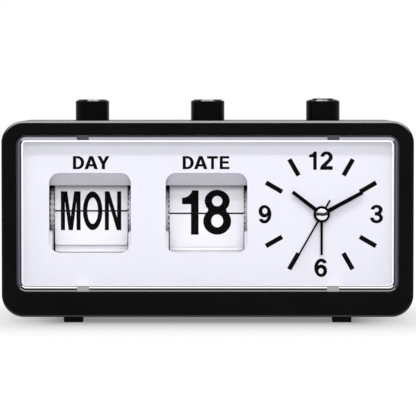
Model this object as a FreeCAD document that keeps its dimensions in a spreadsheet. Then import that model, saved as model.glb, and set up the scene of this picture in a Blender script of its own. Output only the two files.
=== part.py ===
import FreeCAD, Part
import math
import os
import re
import Sketcher

# Dementia day clock: a free-standing housing with two flip-card modules (weekday and date), a quartz
# alarm movement and three push buttons on top.
# Frame: millimetres, +Z up, +X to the right of someone who reads the clock, which faces -Y.
# The origin is under the middle of the clock, on the surface that it stands on.

document = FreeCAD.newDocument("day_clock")
sheet = document.addObject("Spreadsheet::Sheet", "Sizes")

# Driving dimensions in millimetres and degrees, one group for each set of pieces, then the counts.
HOUSING = {
    "case_width": 210,  # housing, left to right
    "case_height": 100,  # housing, without its feet
    "case_depth": 70,  # housing, front to back
    "case_wall": 2.5,  # side, top and bottom walls
    "case_corner_radius": 11.3,  # corners of the housing seen from the front
    "case_edge_round": 1,  # round along the front and rear outer edges
    "ring_thickness": 3,  # front ring around the lens, front to back
    "ring_side": 7.4,  # front ring beside the lens
    "ring_top": 7.15,  # front ring above the lens
    "ring_low": 12.85,  # front ring below the lens
    "opening_corner_radius": 5.4,  # corners of the lens opening
    "opening_bevel": 0.8,  # bevel around the lens opening
    "foot_height": 3,  # feet, below the housing
    "foot_width": 9.5,  # feet, left to right
    "foot_depth": 12,  # feet, front to back
    "foot_inset": 36.2,  # middle of a foot from the housing's side
    "foot_inset_along": 10,  # middle of a foot from the housing's front or rear
}
LENS_AND_DIAL = {
    "lens_setback": 1,  # lens face behind the housing's face
    "lens_thickness": 2,  # lens face
    "lens_gap": 0.1,  # clearance of the lens in its opening
    "lens_rim_side": 2.8,  # raised rim of the lens, left and right
    "lens_rim_end": 3.3,  # raised rim of the lens, top and bottom
    "dial_depth": 9,  # dial face behind the housing's face
    "dial_thickness": 2,  # dial plate
    "dial_gap": 0.3,  # dial plate inside the housing's walls
    "tab_width": 6.1,  # snap tabs that hold the lens
    "tab_height": 2,  # snap tabs, up the rim
    "tab_reach": 4.5,  # snap tabs, forward from the dial
    "tab_gap": 0.15,  # clearance around a tab in the lens rim
    "dial_post_across": 45,  # dial supports from the middle
    "dial_post_side": 4,  # dial supports
    "dial_post_drop": 5,  # lower dial supports below the lens opening
    "tab_left_inset": 41.1,  # left snap tabs from the housing's side
    "tab_right_inset": 40.6,  # right snap tabs from the housing's side
}
WINDOWS = {
    "window_width": 41.9,  # display windows
    "window_height": 40.9,  # display windows
    "window_drop": 17.65,  # lower edge of the windows below the housing's middle
    "window_corner_radius": 5.4,  # corners of the windows
    "day_window_across": 60.3,  # middle of the weekday window from the middle
    "date_window_x": -0.6,  # middle of the date window
    "visor_drop": 6.5,  # hood behind the top of a window, downwards
    "visor_reach": 5.5,  # hood, backwards from the dial face
    "visor_wall": 1.2,  # hood
    "visor_inset": 0.5,  # front edge of the hood behind the dial face
    "guard_width": 1.4,  # guards beside the cards, inside the window
    "guard_height": 10.85,  # guards above the lower edge of their window
    "guard_depth": 12,  # guards, backwards from the dial plate
    "guard_root": 0.3,  # part of a guard behind the dial plate's edge
    "guard_round": 1.2,  # round on the inner top corner of a guard
}
CARD_MODULES = {
    "day_axis_shift": -0.1,  # weekday cards beside the middle of their window
    "date_axis_shift": 0.1,  # date cards beside the middle of their window
    "day_axis_rise": 20.75,  # weekday wheel axis above the lower edge of its window
    "date_axis_rise": 19.45,  # date wheel axis above the lower edge of its window
    "day_card_width": 37.6,  # weekday card
    "date_card_width": 38.4,  # date card
    "day_card_reach": 15.6,  # weekday card, from its hinge to its tip
    "date_card_reach": 16.5,  # date card, from its hinge to its tip
    "day_card_heel": 1.7,  # weekday card, from its hinge to its near edge
    "date_card_heel": 0.53,  # date card, from its hinge to its near edge
    "day_card_sheet": 0.35,  # weekday card thickness
    "date_card_sheet": 0.2,  # date card thickness
    "card_corner_radius": 1.3,  # outer corners of a card
    "hinge_circle": 9.28,  # radius of the circle of hinge holes
    "ear_height": 0.7,  # hinge ears of a card
    "ear_depth": 1.5,  # hinge ears, into the wheel's disc
    "ear_hole_side": 0.9,  # hinge holes
    "disc_radius": 12.3,  # discs of a card wheel
    "disc_width": 2.1,  # discs of a card wheel
    "disc_side_gap": 0.3,  # between a card and a disc
    "axle_radius": 3.5,  # wheel axle between the discs
    "journal_radius": 2,  # wheel journals
    "journal_gap": 0.05,  # clearance of a journal in its bore
    "wheel_side_gap": 0.35,  # between a disc and the frame
    "frame_wall": 1.5,  # frame side plates
    "frame_setback": 16,  # module frames behind the housing's face
    "frame_back": 12,  # rear of the module frames
    "frame_reach": 10.35,  # module frames below the lower edge of the windows
    "frame_drop": 17,  # module frames below the housing's top
    "flange_height": 5.5,  # screw flanges of the frames
    "roof_reach": 6,  # roof of the frames behind the button stems' middle
    "step_travel": 3,  # travel of the two step buttons
    "ratchet_side_gap": 0.4,  # between a frame and its ratchet
    "ratchet_width": 2,  # ratchets
    "ratchet_depth_day": 2.4,  # teeth of the weekday ratchet
    "ratchet_depth_date": 1.3,  # teeth of the date ratchet
    "tooth_sink": 0.4,  # foot of a tooth inside the ratchet's hub
    "finger_gap": 0.15,  # between the finger and the tooth that it pushes
    "finger_bite": 0.2,  # end of the finger inside the circle that it pushes on
    "finger_tip": 0.6,  # finger thickness at its end
    "finger_root": 2.4,  # finger thickness at the arm
    "arm_width": 2,  # push arm blade, front to back
    "arm_gap": 1,  # between a ratchet's teeth and the blade
    "strap_height": 1.6,  # push arm strap under the button
}
PUSH_BUTTONS = {
    "button_radius": 8.75,  # push buttons
    "button_rise": 10.9,  # push buttons above the housing
    "button_bevel": 0.9,  # bevel around the top of a button
    "snooze_disc_height": 0.5,  # raised disc on the snooze button
    "button_across": 60.1,  # outer buttons from the middle
    "button_gap": 0.3,  # between a button and its hole
    "collar_width": 20.4,  # lugs that keep a button in the housing, tip to tip
    "collar_depth": 9,  # lugs, front to back
    "collar_height": 1.2,  # lugs of a button
    "collar_gap": 0.1,  # between the lugs and the housing's top wall
    "stem_radius": 2.5,  # button stems
    "stem_gap": 0.06,  # clearance of a stem in its guide
    "stem_reach": 3,  # step button stems below the roof of their frame
    "snooze_travel": 1.5,  # travel of the snooze button
    "snooze_disc_radius": 5.4,  # raised disc on the snooze button
    "spring_wire_radius": 0.35,  # return springs
    "spring_radius": 4,  # return springs, to the middle of the wire
    "spring_seat_gap": 0.1,  # between a spring's end and its seat
}
SNOOZE_SWITCH = {
    "board_drop": 17,  # underside of the snooze board below the housing's top
    "board_thickness": 1.6,  # snooze board
    "board_width": 34,  # snooze board, left to right
    "board_depth": 12,  # snooze board, front to back
    "board_post_across": 13.5,  # board posts from the button's axis
    "board_post_side": 5,  # board posts
    "switch_side": 8,  # snooze switch
    "switch_height": 4,  # snooze switch
    "switch_floor": 0.8,  # floor of the snooze switch
    "plunger_radius": 1.7,  # plunger of the snooze switch
    "plunger_gap": 0.06,  # clearance of the plunger
}
MOVEMENT = {
    "clock_x": 58.4,  # hand axis from the middle
    "clock_rise": 2.2,  # hand axis above the housing's middle
    "movement_side": 56,  # movement housing
    "movement_depth": 17,  # movement housing, front to back
    "lug_width": 8,  # fixing lugs of the movement
    "lug_reach": 5.5,  # fixing lugs of the movement
    "lug_thickness": 2,  # fixing lugs of the movement
    "lug_across": 20,  # fixing lugs from the hand axis
    "pipe_gap": 0.06,  # clearance between the pipes
    "second_arbor_radius": 0.6,  # second hand arbor
    "minute_pipe_radius": 1.4,  # minute pipe
    "hour_pipe_radius": 2.2,  # hour pipe
    "alarm_pipe_radius": 3,  # alarm pipe
    "pipe_depth": 6,  # pipes inside the movement
    "hand_fit": 0.02,  # clearance of a hand on its pipe
    "alarm_hand_level": 1.2,  # alarm hand above the dial face
    "hour_hand_level": 2.2,  # hour hand above the dial face
    "minute_hand_level": 3.2,  # minute hand above the dial face
    "second_hand_level": 4.2,  # second hand above the dial face
    "hand_sheet": 0.4,  # hands
    "hour_hand_length": 18.8,  # hour hand
    "minute_hand_length": 23.7,  # minute hand
    "second_hand_length": 29,  # second hand
    "second_hand_tail": 8.4,  # second hand behind its axis
    "alarm_hand_length": 20.9,  # alarm hand
    "hour_hand_width": 2.1,  # hour hand
    "minute_hand_width": 2.2,  # minute hand
    "second_hand_width": 0.6,  # second hand
    "alarm_hand_width": 1,  # alarm hand
    "hand_tip_share": 0.88,  # width of a hand at its tip against its root
    "hour_hub_radius": 4.2,  # hour hand's disc
    "minute_hub_radius": 3.65,  # minute hand's disc
    "second_hub_radius": 2.2,  # second hand's disc
    "cap_radius": 3,  # bright cap on the second hand
    "cap_height": 1.1,  # bright cap on the second hand
    "cap_bevel": 0.66,  # bevel of the bright cap
    "hour_hand_angle": 307.4,  # clockwise from twelve
    "minute_hand_angle": 61.6,  # clockwise from twelve
    "second_hand_angle": 209.7,  # clockwise from twelve
    "alarm_hand_angle": 180,  # clockwise from twelve
}
REAR_COVER = {
    "cover_thickness": 2.5,  # rear cover
    "cover_gap": 0.2,  # rear cover inside the housing's walls
    "post_sink": 0.4,  # cover posts into the housing's side walls
    "cover_post_inset": 11,  # cover posts from the housing's underside and top
    "cover_post_side": 6.8,  # cover posts
    "cover_post_gap": 2,  # cover posts behind the dial plate
    "battery_inset": 46,  # middle of the battery box from the housing's side
    "battery_rise": 6.5,  # inside of the battery box above the housing's underside
    "battery_width": 58,  # inside of the battery box
    "battery_height": 30.6,  # inside of the battery box
    "battery_depth": 15,  # inside of the battery box, under the door
    "battery_wall": 1.5,  # battery box walls
    "cell_radius": 7.1,  # battery cells
    "cell_length": 49.2,  # battery cells without the cap
    "cell_cap_radius": 2.75,  # cap of a battery cell
    "cell_cap_height": 1.3,  # cap of a battery cell
    "contact_side": 10,  # battery contact plates
    "contact_sheet": 0.5,  # battery contact plates
    "door_thickness": 1.9,  # battery door
    "door_lip": 2,  # battery door beyond the box's inside
    "door_gap": 0.25,  # clearance around the battery door
    "door_pin_length": 1.2,  # hinge pins of the battery door
    "door_pin_radius": 0.63,  # hinge pins of the battery door
    "door_pin_gap": 0.08,  # clearance of a hinge pin
    "door_notch_width": 12,  # finger notch above the battery door
    "door_notch_height": 1.2,  # finger notch, above the door's edge
    "knob_well_radius": 11,  # well around the time knob
    "alarm_well_radius": 8,  # well around the alarm knob
    "well_depth": 8,  # wells, from the rear face to their floor
    "well_wall": 1.5,  # wells
    "time_knob_radius": 8,  # time knob
    "alarm_knob_radius": 6,  # alarm knob
    "knob_height": 6,  # setting knobs
    "knob_rib_depth": 0.7,  # grip ribs on a knob
    "knob_stem_radius": 1.5,  # stems of the knobs
    "knob_floor_gap": 0.5,  # between a knob and the floor of its well
    "knob_stem_depth": 3,  # stems inside the movement
    "alarm_knob_across": 23.6,  # alarm knob beside the hand axis
    "alarm_knob_rise": 10.8,  # alarm knob above the hand axis
    "buzzer_x": 0,  # sounder
    "buzzer_rise": 1,  # sounder above the housing's middle
    "buzzer_radius": 13.8,  # sounder
    "sound_slot_width": 14,  # sound slots
    "sound_slot_height": 1.2,  # sound slots
    "sound_slot_pitch": 3.2,  # sound slots
    "buzzer_height": 5,  # sounder
    "slide_inset": 20.4,  # alarm slide at rest beside the hand axis
    "slide_rise": 16.8,  # alarm slide above the hand axis
    "slide_travel": 4,  # alarm slide
    "slide_width": 4,  # alarm slide's button
    "slide_height": 3,  # alarm slide's button
    "slide_gap": 0.15,  # clearance of the slide in its slot
    "slide_body_depth": 5,  # body of the alarm switch
}
SCREWS = {
    "screw_radius": 1,  # shank of a screw
    "screw_head_radius": 1.9,  # head of a screw
    "screw_head_height": 1.2,  # head of a screw
    "screw_length": 6,  # shank of a screw
    "screw_gap": 0.1,  # clearance of a shank in the piece it holds
    "screw_pilot_gap": 0.02,  # clearance of a shank in its pilot hole
    "screw_well_gap": 0.5,  # clearance of a head in its counterbore
}
COUNTS = {
    "screw_sides": 12,  # sides of the small round parts that repeat, such as screws
    "day_cards": 14,  # cards on the weekday wheel, the week twice
    "date_cards": 31,  # cards on the date wheel
    "spring_turns": 4,  # return springs
    "spring_steps": 8,  # straight runs in one turn of a return spring
    "knob_ribs": 16,  # grip ribs on a knob
    "sound_slots": 5,  # sound slots, one above the other
}

known_sizes = []
for sizes in (HOUSING, LENS_AND_DIAL, WINDOWS, CARD_MODULES, PUSH_BUTTONS,
              SNOOZE_SWITCH, MOVEMENT, REAR_COVER, SCREWS, COUNTS):
    for name, value in sizes.items():
        known_sizes.append(name)
        row = len(known_sizes)
        sheet.set(f"A{row}", name)
        sheet.set(f"B{row}", str(value))
        sheet.setAlias(f"B{row}", name)
document.recompute()

NAME = re.compile(r"[a-z][a-z0-9_]*")

# Places and sizes that follow from the driving dimensions.
PLACES = {
    "opening_width": "case_width - 2 * ring_side",
    "opening_height": "case_height - ring_low - ring_top",
    "foot_across": "case_width / 2 - foot_inset",
    "foot_along": "case_depth / 2 - foot_inset_along",
    "tab_left": "tab_left_inset - case_width / 2",
    "tab_right": "case_width / 2 - tab_right_inset",
    "window_low": "foot_height + case_height / 2 - window_drop",
    "guard_top": "window_low + guard_height",
    "day_window_x": "-day_window_across",
    "day_axis_x": "day_window_x + day_axis_shift",
    "date_axis_x": "date_window_x + date_axis_shift",
    "day_axis_z": "window_low + day_axis_rise",
    "date_axis_z": "window_low + date_axis_rise",
    "frame_front": "frame_setback - case_depth / 2",
    "frame_low": "window_low - frame_reach",
    "frame_top": "foot_height + case_height - frame_drop",
    "stem_end": "frame_top - stem_reach",
    "board_z": "foot_height + case_height - board_drop",
    "clock_z": "foot_height + case_height / 2 + clock_rise",
    "cover_post_across": "case_width / 2 - case_wall - cover_post_side / 2 + post_sink",
    "cover_post_low": "foot_height + cover_post_inset",
    "cover_post_high": "foot_height + case_height - cover_post_inset",
    "cover_post_front": "dial_depth + dial_thickness + cover_post_gap - case_depth / 2",
    "battery_x": "case_width / 2 - battery_inset",
    "battery_low": "foot_height + battery_rise",
    "alarm_knob_x": "clock_x + alarm_knob_across",
    "alarm_knob_z": "clock_z + alarm_knob_rise",
    "buzzer_z": "foot_height + case_height / 2 + buzzer_rise",
    "slide_x": "clock_x - slide_inset",
    "slide_z": "clock_z + slide_rise",
}

FRONT = "(-case_depth / 2)"
REAR = "(case_depth / 2)"
RING_BACK = f"({FRONT} + ring_thickness)"
LENS_FRONT = f"({FRONT} + lens_setback)"
LENS_INSIDE = f"({LENS_FRONT} + lens_thickness)"
DIAL_FRONT = f"({FRONT} + dial_depth)"
DIAL_BACK = f"({DIAL_FRONT} + dial_thickness)"
COVER_FRONT = f"({REAR} - cover_thickness)"
CASE_TOP = "(foot_height + case_height)"
CASE_MIDDLE = "(foot_height + case_height / 2)"
INSIDE_TOP = f"({CASE_TOP} - case_wall)"
OPENING_LOW = "(foot_height + ring_low)"
OPENING_TOP = f"({OPENING_LOW} + opening_height)"
OPENING_MIDDLE = f"({OPENING_LOW} + opening_height / 2)"
WINDOW_TOP = "(window_low + window_height)"
WINDOW_MIDDLE = "(window_low + window_height / 2)"
COLLAR_TOP = f"({INSIDE_TOP} - collar_gap)"
COLLAR_LOW = f"({COLLAR_TOP} - collar_height)"
STRAP_LOW = f"({COLLAR_LOW} - strap_height)"
KINDS = ("day", "date")
FLANGE_LEVELS = ("(frame_low - flange_height / 2)", "(frame_top + flange_height / 2)")


def tied(text):
    """An expression on the sheet: a size's name becomes its cell, and a place what it follows from."""

    def cell(match):
        word = match.group()
        if word in PLACES:
            return f"({tied(PLACES[word])})"
        return f"Sizes.{word}" if word in known_sizes else word

    return NAME.sub(cell, text)


def number(text):
    """The present value of an expression."""
    return float(sheet.evalExpression(tied(text)))


def tie(feature, prop, text):
    feature.setExpression(prop, tied(text))


def place(feature, x="0", y="0", z="0"):
    tie(feature, "Placement.Base.x", x)
    tie(feature, "Placement.Base.y", y)
    tie(feature, "Placement.Base.z", z)


# ---- outlines drawn in a sketch ----


def offset(sketch, across, up):
    tie(sketch, "AttachmentOffset.Base.x", across)
    tie(sketch, "AttachmentOffset.Base.y", up)


def pin_point(sketch, edge, end, across, up):
    """Holds one end of a sketch edge at a place measured from the sketch's origin."""
    for kind, text in (("DistanceX", across), ("DistanceY", up)):
        index = sketch.addConstraint(Sketcher.Constraint(kind, -1, 1, edge, end, number(text)))
        tie(sketch, f"Constraints[{index}]", text)


def polygon(points):
    """A closed outline with straight sides through the given corners."""

    def draw(sketch):
        corners = [FreeCAD.Vector(number(x), number(y), 0) for x, y in points]
        count = len(corners)
        for index in range(count):
            side = Part.LineSegment(corners[index], corners[(index + 1) % count])
            sketch.addGeometry(side, False)
        for index in range(count):
            sketch.addConstraint(Sketcher.Constraint("Coincident", index, 2, (index + 1) % count, 1))
        for index, (x, y) in enumerate(points):
            pin_point(sketch, index, 1, x, y)

    return draw


def rectangle(across, up, width, height):
    """A rectangle around its middle."""

    def draw(sketch):
        offset(sketch, across, up)
        half, rise = f"({width}) / 2", f"({height}) / 2"
        corners = [
            (f"-({half})", f"-({rise})"),
            (half, f"-({rise})"),
            (half, rise),
            (f"-({half})", rise),
        ]
        polygon(corners)(sketch)

    return draw


def rounded(across, up, width, height, radius):
    """A rectangle around its middle, with round corners."""

    def draw(sketch):
        offset(sketch, across, up)
        half, rise, bend = number(width) / 2, number(height) / 2, number(radius)
        turns = ((1, 1, 0), (-1, 1, 90), (-1, -1, 180), (1, -1, 270))
        for side, level, start in turns:
            middle = FreeCAD.Vector(side * (half - bend), level * (rise - bend), 0)
            circle = Part.Circle(middle, FreeCAD.Vector(0, 0, 1), bend)
            first, last = math.radians(start), math.radians(start + 90)
            sketch.addGeometry(Part.ArcOfCircle(circle, first, last), False)
        for index in range(4):
            here = sketch.Geometry[index].EndPoint
            there = sketch.Geometry[(index + 1) % 4].StartPoint
            sketch.addGeometry(Part.LineSegment(here, there), False)
        for index in range(4):
            line = 4 + index
            sketch.addConstraint(Sketcher.Constraint("Tangent", index, 2, line, 1))
            sketch.addConstraint(Sketcher.Constraint("Tangent", line, 2, (index + 1) % 4, 1))
            direction = "Vertical" if index % 2 else "Horizontal"
            sketch.addConstraint(Sketcher.Constraint(direction, line))
            if index:
                sketch.addConstraint(Sketcher.Constraint("Equal", 0, index))
        bend_index = sketch.addConstraint(Sketcher.Constraint("Radius", 0, bend))
        tie(sketch, f"Constraints[{bend_index}]", radius)
        pin_point(sketch, 0, 3, f"({width}) / 2 - ({radius})", f"({height}) / 2 - ({radius})")
        pin_point(sketch, 2, 3, f"({radius}) - ({width}) / 2", f"({radius}) - ({height}) / 2")

    return draw


def circle(across, up, radius):
    """A circle around its middle."""

    def draw(sketch):
        offset(sketch, across, up)
        shape = Part.Circle(FreeCAD.Vector(0, 0, 0), FreeCAD.Vector(0, 0, 1), number(radius))
        sketch.addGeometry(shape, False)
        sketch.addConstraint(Sketcher.Constraint("Coincident", 0, 3, -1, 1))
        index = sketch.addConstraint(Sketcher.Constraint("Radius", 0, number(radius)))
        tie(sketch, f"Constraints[{index}]", radius)

    return draw


def toothed(count, outer, inner):
    """An outline around the origin whose corners lie on two radii in turn."""
    corners = []
    for index in range(2 * round(number(count))):
        angle = f"{index} * 180 / {count}"
        reach = inner if index % 2 == 0 else outer
        corners.append((f"{reach} * cos({angle})", f"{reach} * sin({angle})"))
    return polygon(corners)


def regular(across, up, radius):
    """A regular outline for a small round hole that repeats."""

    def draw(sketch):
        offset(sketch, across, up)
        corners = []
        for index in range(round(number("screw_sides"))):
            angle = f"{index} * 360 / screw_sides"
            corners.append((f"({radius}) * cos({angle})", f"({radius}) * sin({angle})"))
        polygon(corners)(sketch)

    return draw


# ---- bodies and their features ----


def new_body(label):
    return document.addObject("PartDesign::Body", label)


def origin_feature(body, role):
    return next(item for item in body.Origin.OriginFeatures if item.Role == role)


def new_sketch(body, name, role, height, outline):
    sketch = body.newObject("Sketcher::SketchObject", f"{body.Label}_{name}_outline")
    sketch.AttachmentSupport = [(origin_feature(body, role), "")]
    sketch.MapMode = "FlatFace"
    tie(sketch, "AttachmentOffset.Base.z", height)
    outline(sketch)
    return sketch


def add(body, name, role, outline, low, high):
    """Adds the outline between two levels along the axis that its plane faces."""
    height = f"-({high})" if role == "XZ_Plane" else low
    feature = body.newObject("PartDesign::Pad", f"{body.Label}_{name}")
    feature.Profile = new_sketch(body, name, role, height, outline)
    tie(feature, "Length", f"({high}) - ({low})")
    return feature


def cut(body, name, role, outline, low, high):
    """Removes the outline between two levels along the axis that its plane faces."""
    height = f"-({low})" if role == "XZ_Plane" else high
    feature = body.newObject("PartDesign::Pocket", f"{body.Label}_{name}")
    feature.Profile = new_sketch(body, name, role, height, outline)
    tie(feature, "Length", f"({high}) - ({low})")
    return feature


def revolve(body, name, role, outline, axis):
    """Turns an outline once around an axis of the body's origin."""
    feature = body.newObject("PartDesign::Revolution", f"{body.Label}_{name}")
    feature.Profile = new_sketch(body, name, role, "0", outline)
    feature.ReferenceAxis = (origin_feature(body, axis), [""])
    feature.Angle = 360
    return feature


def around(body, feature, axis, count):
    """Repeats a feature evenly around an axis of the body's origin."""
    pattern = body.newObject("PartDesign::PolarPattern", f"{feature.Name}_ring")
    pattern.Originals = [feature]
    pattern.Axis = (origin_feature(body, axis), [""])
    pattern.Angle = 360
    tie(pattern, "Occurrences", count)
    body.Tip = pattern
    return pattern


def chosen_edges(feature, test):
    """The names of a feature's edges whose middle and direction pass a test."""
    names = []
    for index, edge in enumerate(feature.Shape.Edges, 1):
        if edge.Degenerated:
            continue
        middle = edge.valueAt((edge.FirstParameter + edge.LastParameter) / 2)
        along = edge.tangentAt(edge.FirstParameter)
        if test(edge, middle, along):
            names.append(f"Edge{index}")
    return names


def dress(body, kind, name, size_name, amount, test):
    """A fillet or a chamfer along the edges of the body's tip that pass a test."""
    document.recompute()
    base = body.Tip
    feature = body.newObject(f"PartDesign::{kind}", f"{body.Label}_{name}")
    feature.Base = (base, chosen_edges(base, test))
    tie(feature, size_name, amount)
    return feature


def fillet(body, name, radius, test):
    return dress(body, "Fillet", name, "Radius", radius, test)


def chamfer(body, name, amount, test):
    return dress(body, "Chamfer", name, "Size", amount, test)


def near(value, text):
    return abs(value - number(text)) < 0.01


# ---- plain solids ----


def block(name, x_span, y_span, z_span):
    """A box between two places along each axis."""
    box = document.addObject("Part::Box", name)
    for prop, (low, high) in zip(("Length", "Width", "Height"), (x_span, y_span, z_span)):
        tie(box, prop, f"({high}) - ({low})")
    place(box, x_span[0], y_span[0], z_span[0])
    return box


AXES = {
    "x": FreeCAD.Rotation(FreeCAD.Vector(0, 1, 0), 90),
    "y": FreeCAD.Rotation(FreeCAD.Vector(1, 0, 0), -90),
    "z": FreeCAD.Rotation(),
}


def rod(name, axis, start, length, radius):
    """A cylinder from a start point along x, y or z."""
    cylinder = document.addObject("Part::Cylinder", name)
    tie(cylinder, "Radius", radius)
    tie(cylinder, "Height", length)
    cylinder.Placement = FreeCAD.Placement(FreeCAD.Vector(), AXES[axis])
    place(cylinder, *start)
    return cylinder


def prism(name, start, length, radius):
    """A small round bar along y, with the sides of the holes that it goes in."""
    bar = document.addObject("Part::Prism", name)
    tie(bar, "Polygon", "screw_sides")
    tie(bar, "Circumradius", radius)
    tie(bar, "Height", length)
    bar.Placement = FreeCAD.Placement(FreeCAD.Vector(), AXES["y"])
    place(bar, *start)
    return bar


def fuse(label, pieces):
    joined = document.addObject("Part::MultiFuse", label)
    joined.Shapes = pieces
    joined.Refine = True
    return joined


def subtract(label, base, tools):
    tool = tools[0] if len(tools) == 1 else fuse(f"{label}_cuts", tools)
    result = document.addObject("Part::Cut", label)
    result.Base = base
    result.Tool = tool
    result.Refine = True
    return result


def group(label, pieces):
    together = document.addObject("Part::Compound", label)
    together.Links = pieces
    return together


# ---- housing ----

DIAL_POSTS = [
    (f"{side} * dial_post_across", level)
    for side in (-1, 1)
    for level in (f"({INSIDE_TOP} - dial_post_side / 2)", f"({OPENING_LOW} - dial_post_drop)")
]
COVER_POSTS = [
    (f"{side} * cover_post_across", level)
    for side in (-1, 1)
    for level in ("cover_post_low", "cover_post_high")
]
BUTTONS = {"day": "-button_across", "date": "0", "snooze": "button_across"}
FEET = [(f"{side} * foot_across", f"{end} * foot_along") for side in (-1, 1) for end in (-1, 1)]
BOARD_POSTS = [f"button_across + {side} * board_post_across" for side in (-1, 1)]
BOARD_TOP = "(board_z + board_thickness)"


def make_case_shell():
    body = new_body("case_shell")
    outer = rounded("0", CASE_MIDDLE, "case_width", "case_height", "case_corner_radius")
    add(body, "block", "XZ_Plane", outer, FRONT, REAR)
    inner = rounded(
        "0",
        CASE_MIDDLE,
        "case_width - 2 * case_wall",
        "case_height - 2 * case_wall",
        "case_corner_radius - case_wall",
    )
    cut(body, "inside", "XZ_Plane", inner, RING_BACK, REAR)
    opening = rounded("0", OPENING_MIDDLE, "opening_width", "opening_height", "opening_corner_radius")
    cut(body, "opening", "XZ_Plane", opening, FRONT, RING_BACK)
    half_opening = "opening_width / 2"

    def on_front(edge, middle, along):
        return near(middle.y, FRONT)

    def inside_ring(middle):
        across = abs(middle.x) < number(half_opening) + 0.01
        up = number(OPENING_LOW) - 0.01 < middle.z < number(OPENING_TOP) + 0.01
        return across and up

    chamfer(
        body,
        "bevel",
        "opening_bevel",
        lambda edge, middle, along: on_front(edge, middle, along) and inside_ring(middle),
    )

    def outer_rim(edge, middle, along):
        ends = near(middle.y, FRONT) or near(middle.y, REAR)
        across = number("case_width / 2") - abs(middle.x)
        up = number("case_height / 2") - abs(middle.z - number(CASE_MIDDLE))
        bend = number("case_corner_radius")
        flat = min(across, up) < 0.01
        bent = math.hypot(bend - across, bend - up) > bend - 0.01 and max(across, up) < bend
        return ends and (flat or bent)

    chamfer(body, "edge", "case_edge_round", outer_rim)
    for index, (x, z) in enumerate(DIAL_POSTS):
        post = rectangle(x, z, "dial_post_side", "dial_post_side")
        add(body, f"dial_post_{index}", "XZ_Plane", post, RING_BACK, DIAL_FRONT)
    for index, (x, z) in enumerate(COVER_POSTS):
        post = rectangle(x, z, "cover_post_side", "cover_post_side")
        add(body, f"cover_post_{index}", "XZ_Plane", post, "cover_post_front", COVER_FRONT)
    for index, x in enumerate(BOARD_POSTS):
        post = rectangle(x, "0", "board_post_side", "board_post_side")
        add(body, f"board_post_{index}", "XY_Plane", post, BOARD_TOP, INSIDE_TOP)
    pilot = "screw_radius + screw_pilot_gap"
    for index, (x, z) in enumerate(COVER_POSTS):
        depth = f"{COVER_FRONT} - screw_length"
        cut(body, f"cover_pilot_{index}", "XZ_Plane", regular(x, z, pilot), depth, COVER_FRONT)
    for name, x in BUTTONS.items():
        hole = circle(x, "0", "button_radius + button_gap")
        cut(body, f"{name}_button_hole", "XY_Plane", hole, INSIDE_TOP, CASE_TOP)
    return body


def make_feet():
    half, reach = "foot_width / 2", "foot_depth / 2"
    feet = [
        block(
            f"foot_{index}",
            (f"{x} - {half}", f"{x} + {half}"),
            (f"{y} - {reach}", f"{y} + {reach}"),
            ("0", "foot_height"),
        )
        for index, (x, y) in enumerate(FEET)
    ]
    return group("feet", feet)


# ---- lens and dial ----

TAB_PLACES = [
    (x, z)
    for x in ("tab_left", "tab_right")
    for z in (f"{OPENING_TOP} - lens_rim_end / 2", f"{OPENING_LOW} + lens_rim_end / 2")
]


def make_lens():
    body = new_body("lens")
    width = "opening_width - 2 * lens_gap"
    height = "opening_height - 2 * lens_gap"
    outer = rounded("0", OPENING_MIDDLE, width, height, "opening_corner_radius - lens_gap")
    add(body, "block", "XZ_Plane", outer, LENS_FRONT, DIAL_FRONT)
    inner = rounded(
        "0",
        OPENING_MIDDLE,
        f"{width} - 2 * lens_rim_side",
        f"{height} - 2 * lens_rim_end",
        "opening_corner_radius - lens_rim_side",
    )
    cut(body, "inside", "XZ_Plane", inner, LENS_INSIDE, DIAL_FRONT)
    for index, (x, z) in enumerate(TAB_PLACES):
        notch = rectangle(x, z, "tab_width + 2 * tab_gap", "tab_height + 2 * tab_gap")
        front = f"{DIAL_FRONT} - tab_reach - tab_gap"
        cut(body, f"notch_{index}", "XZ_Plane", notch, front, DIAL_FRONT)
    return body


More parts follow.
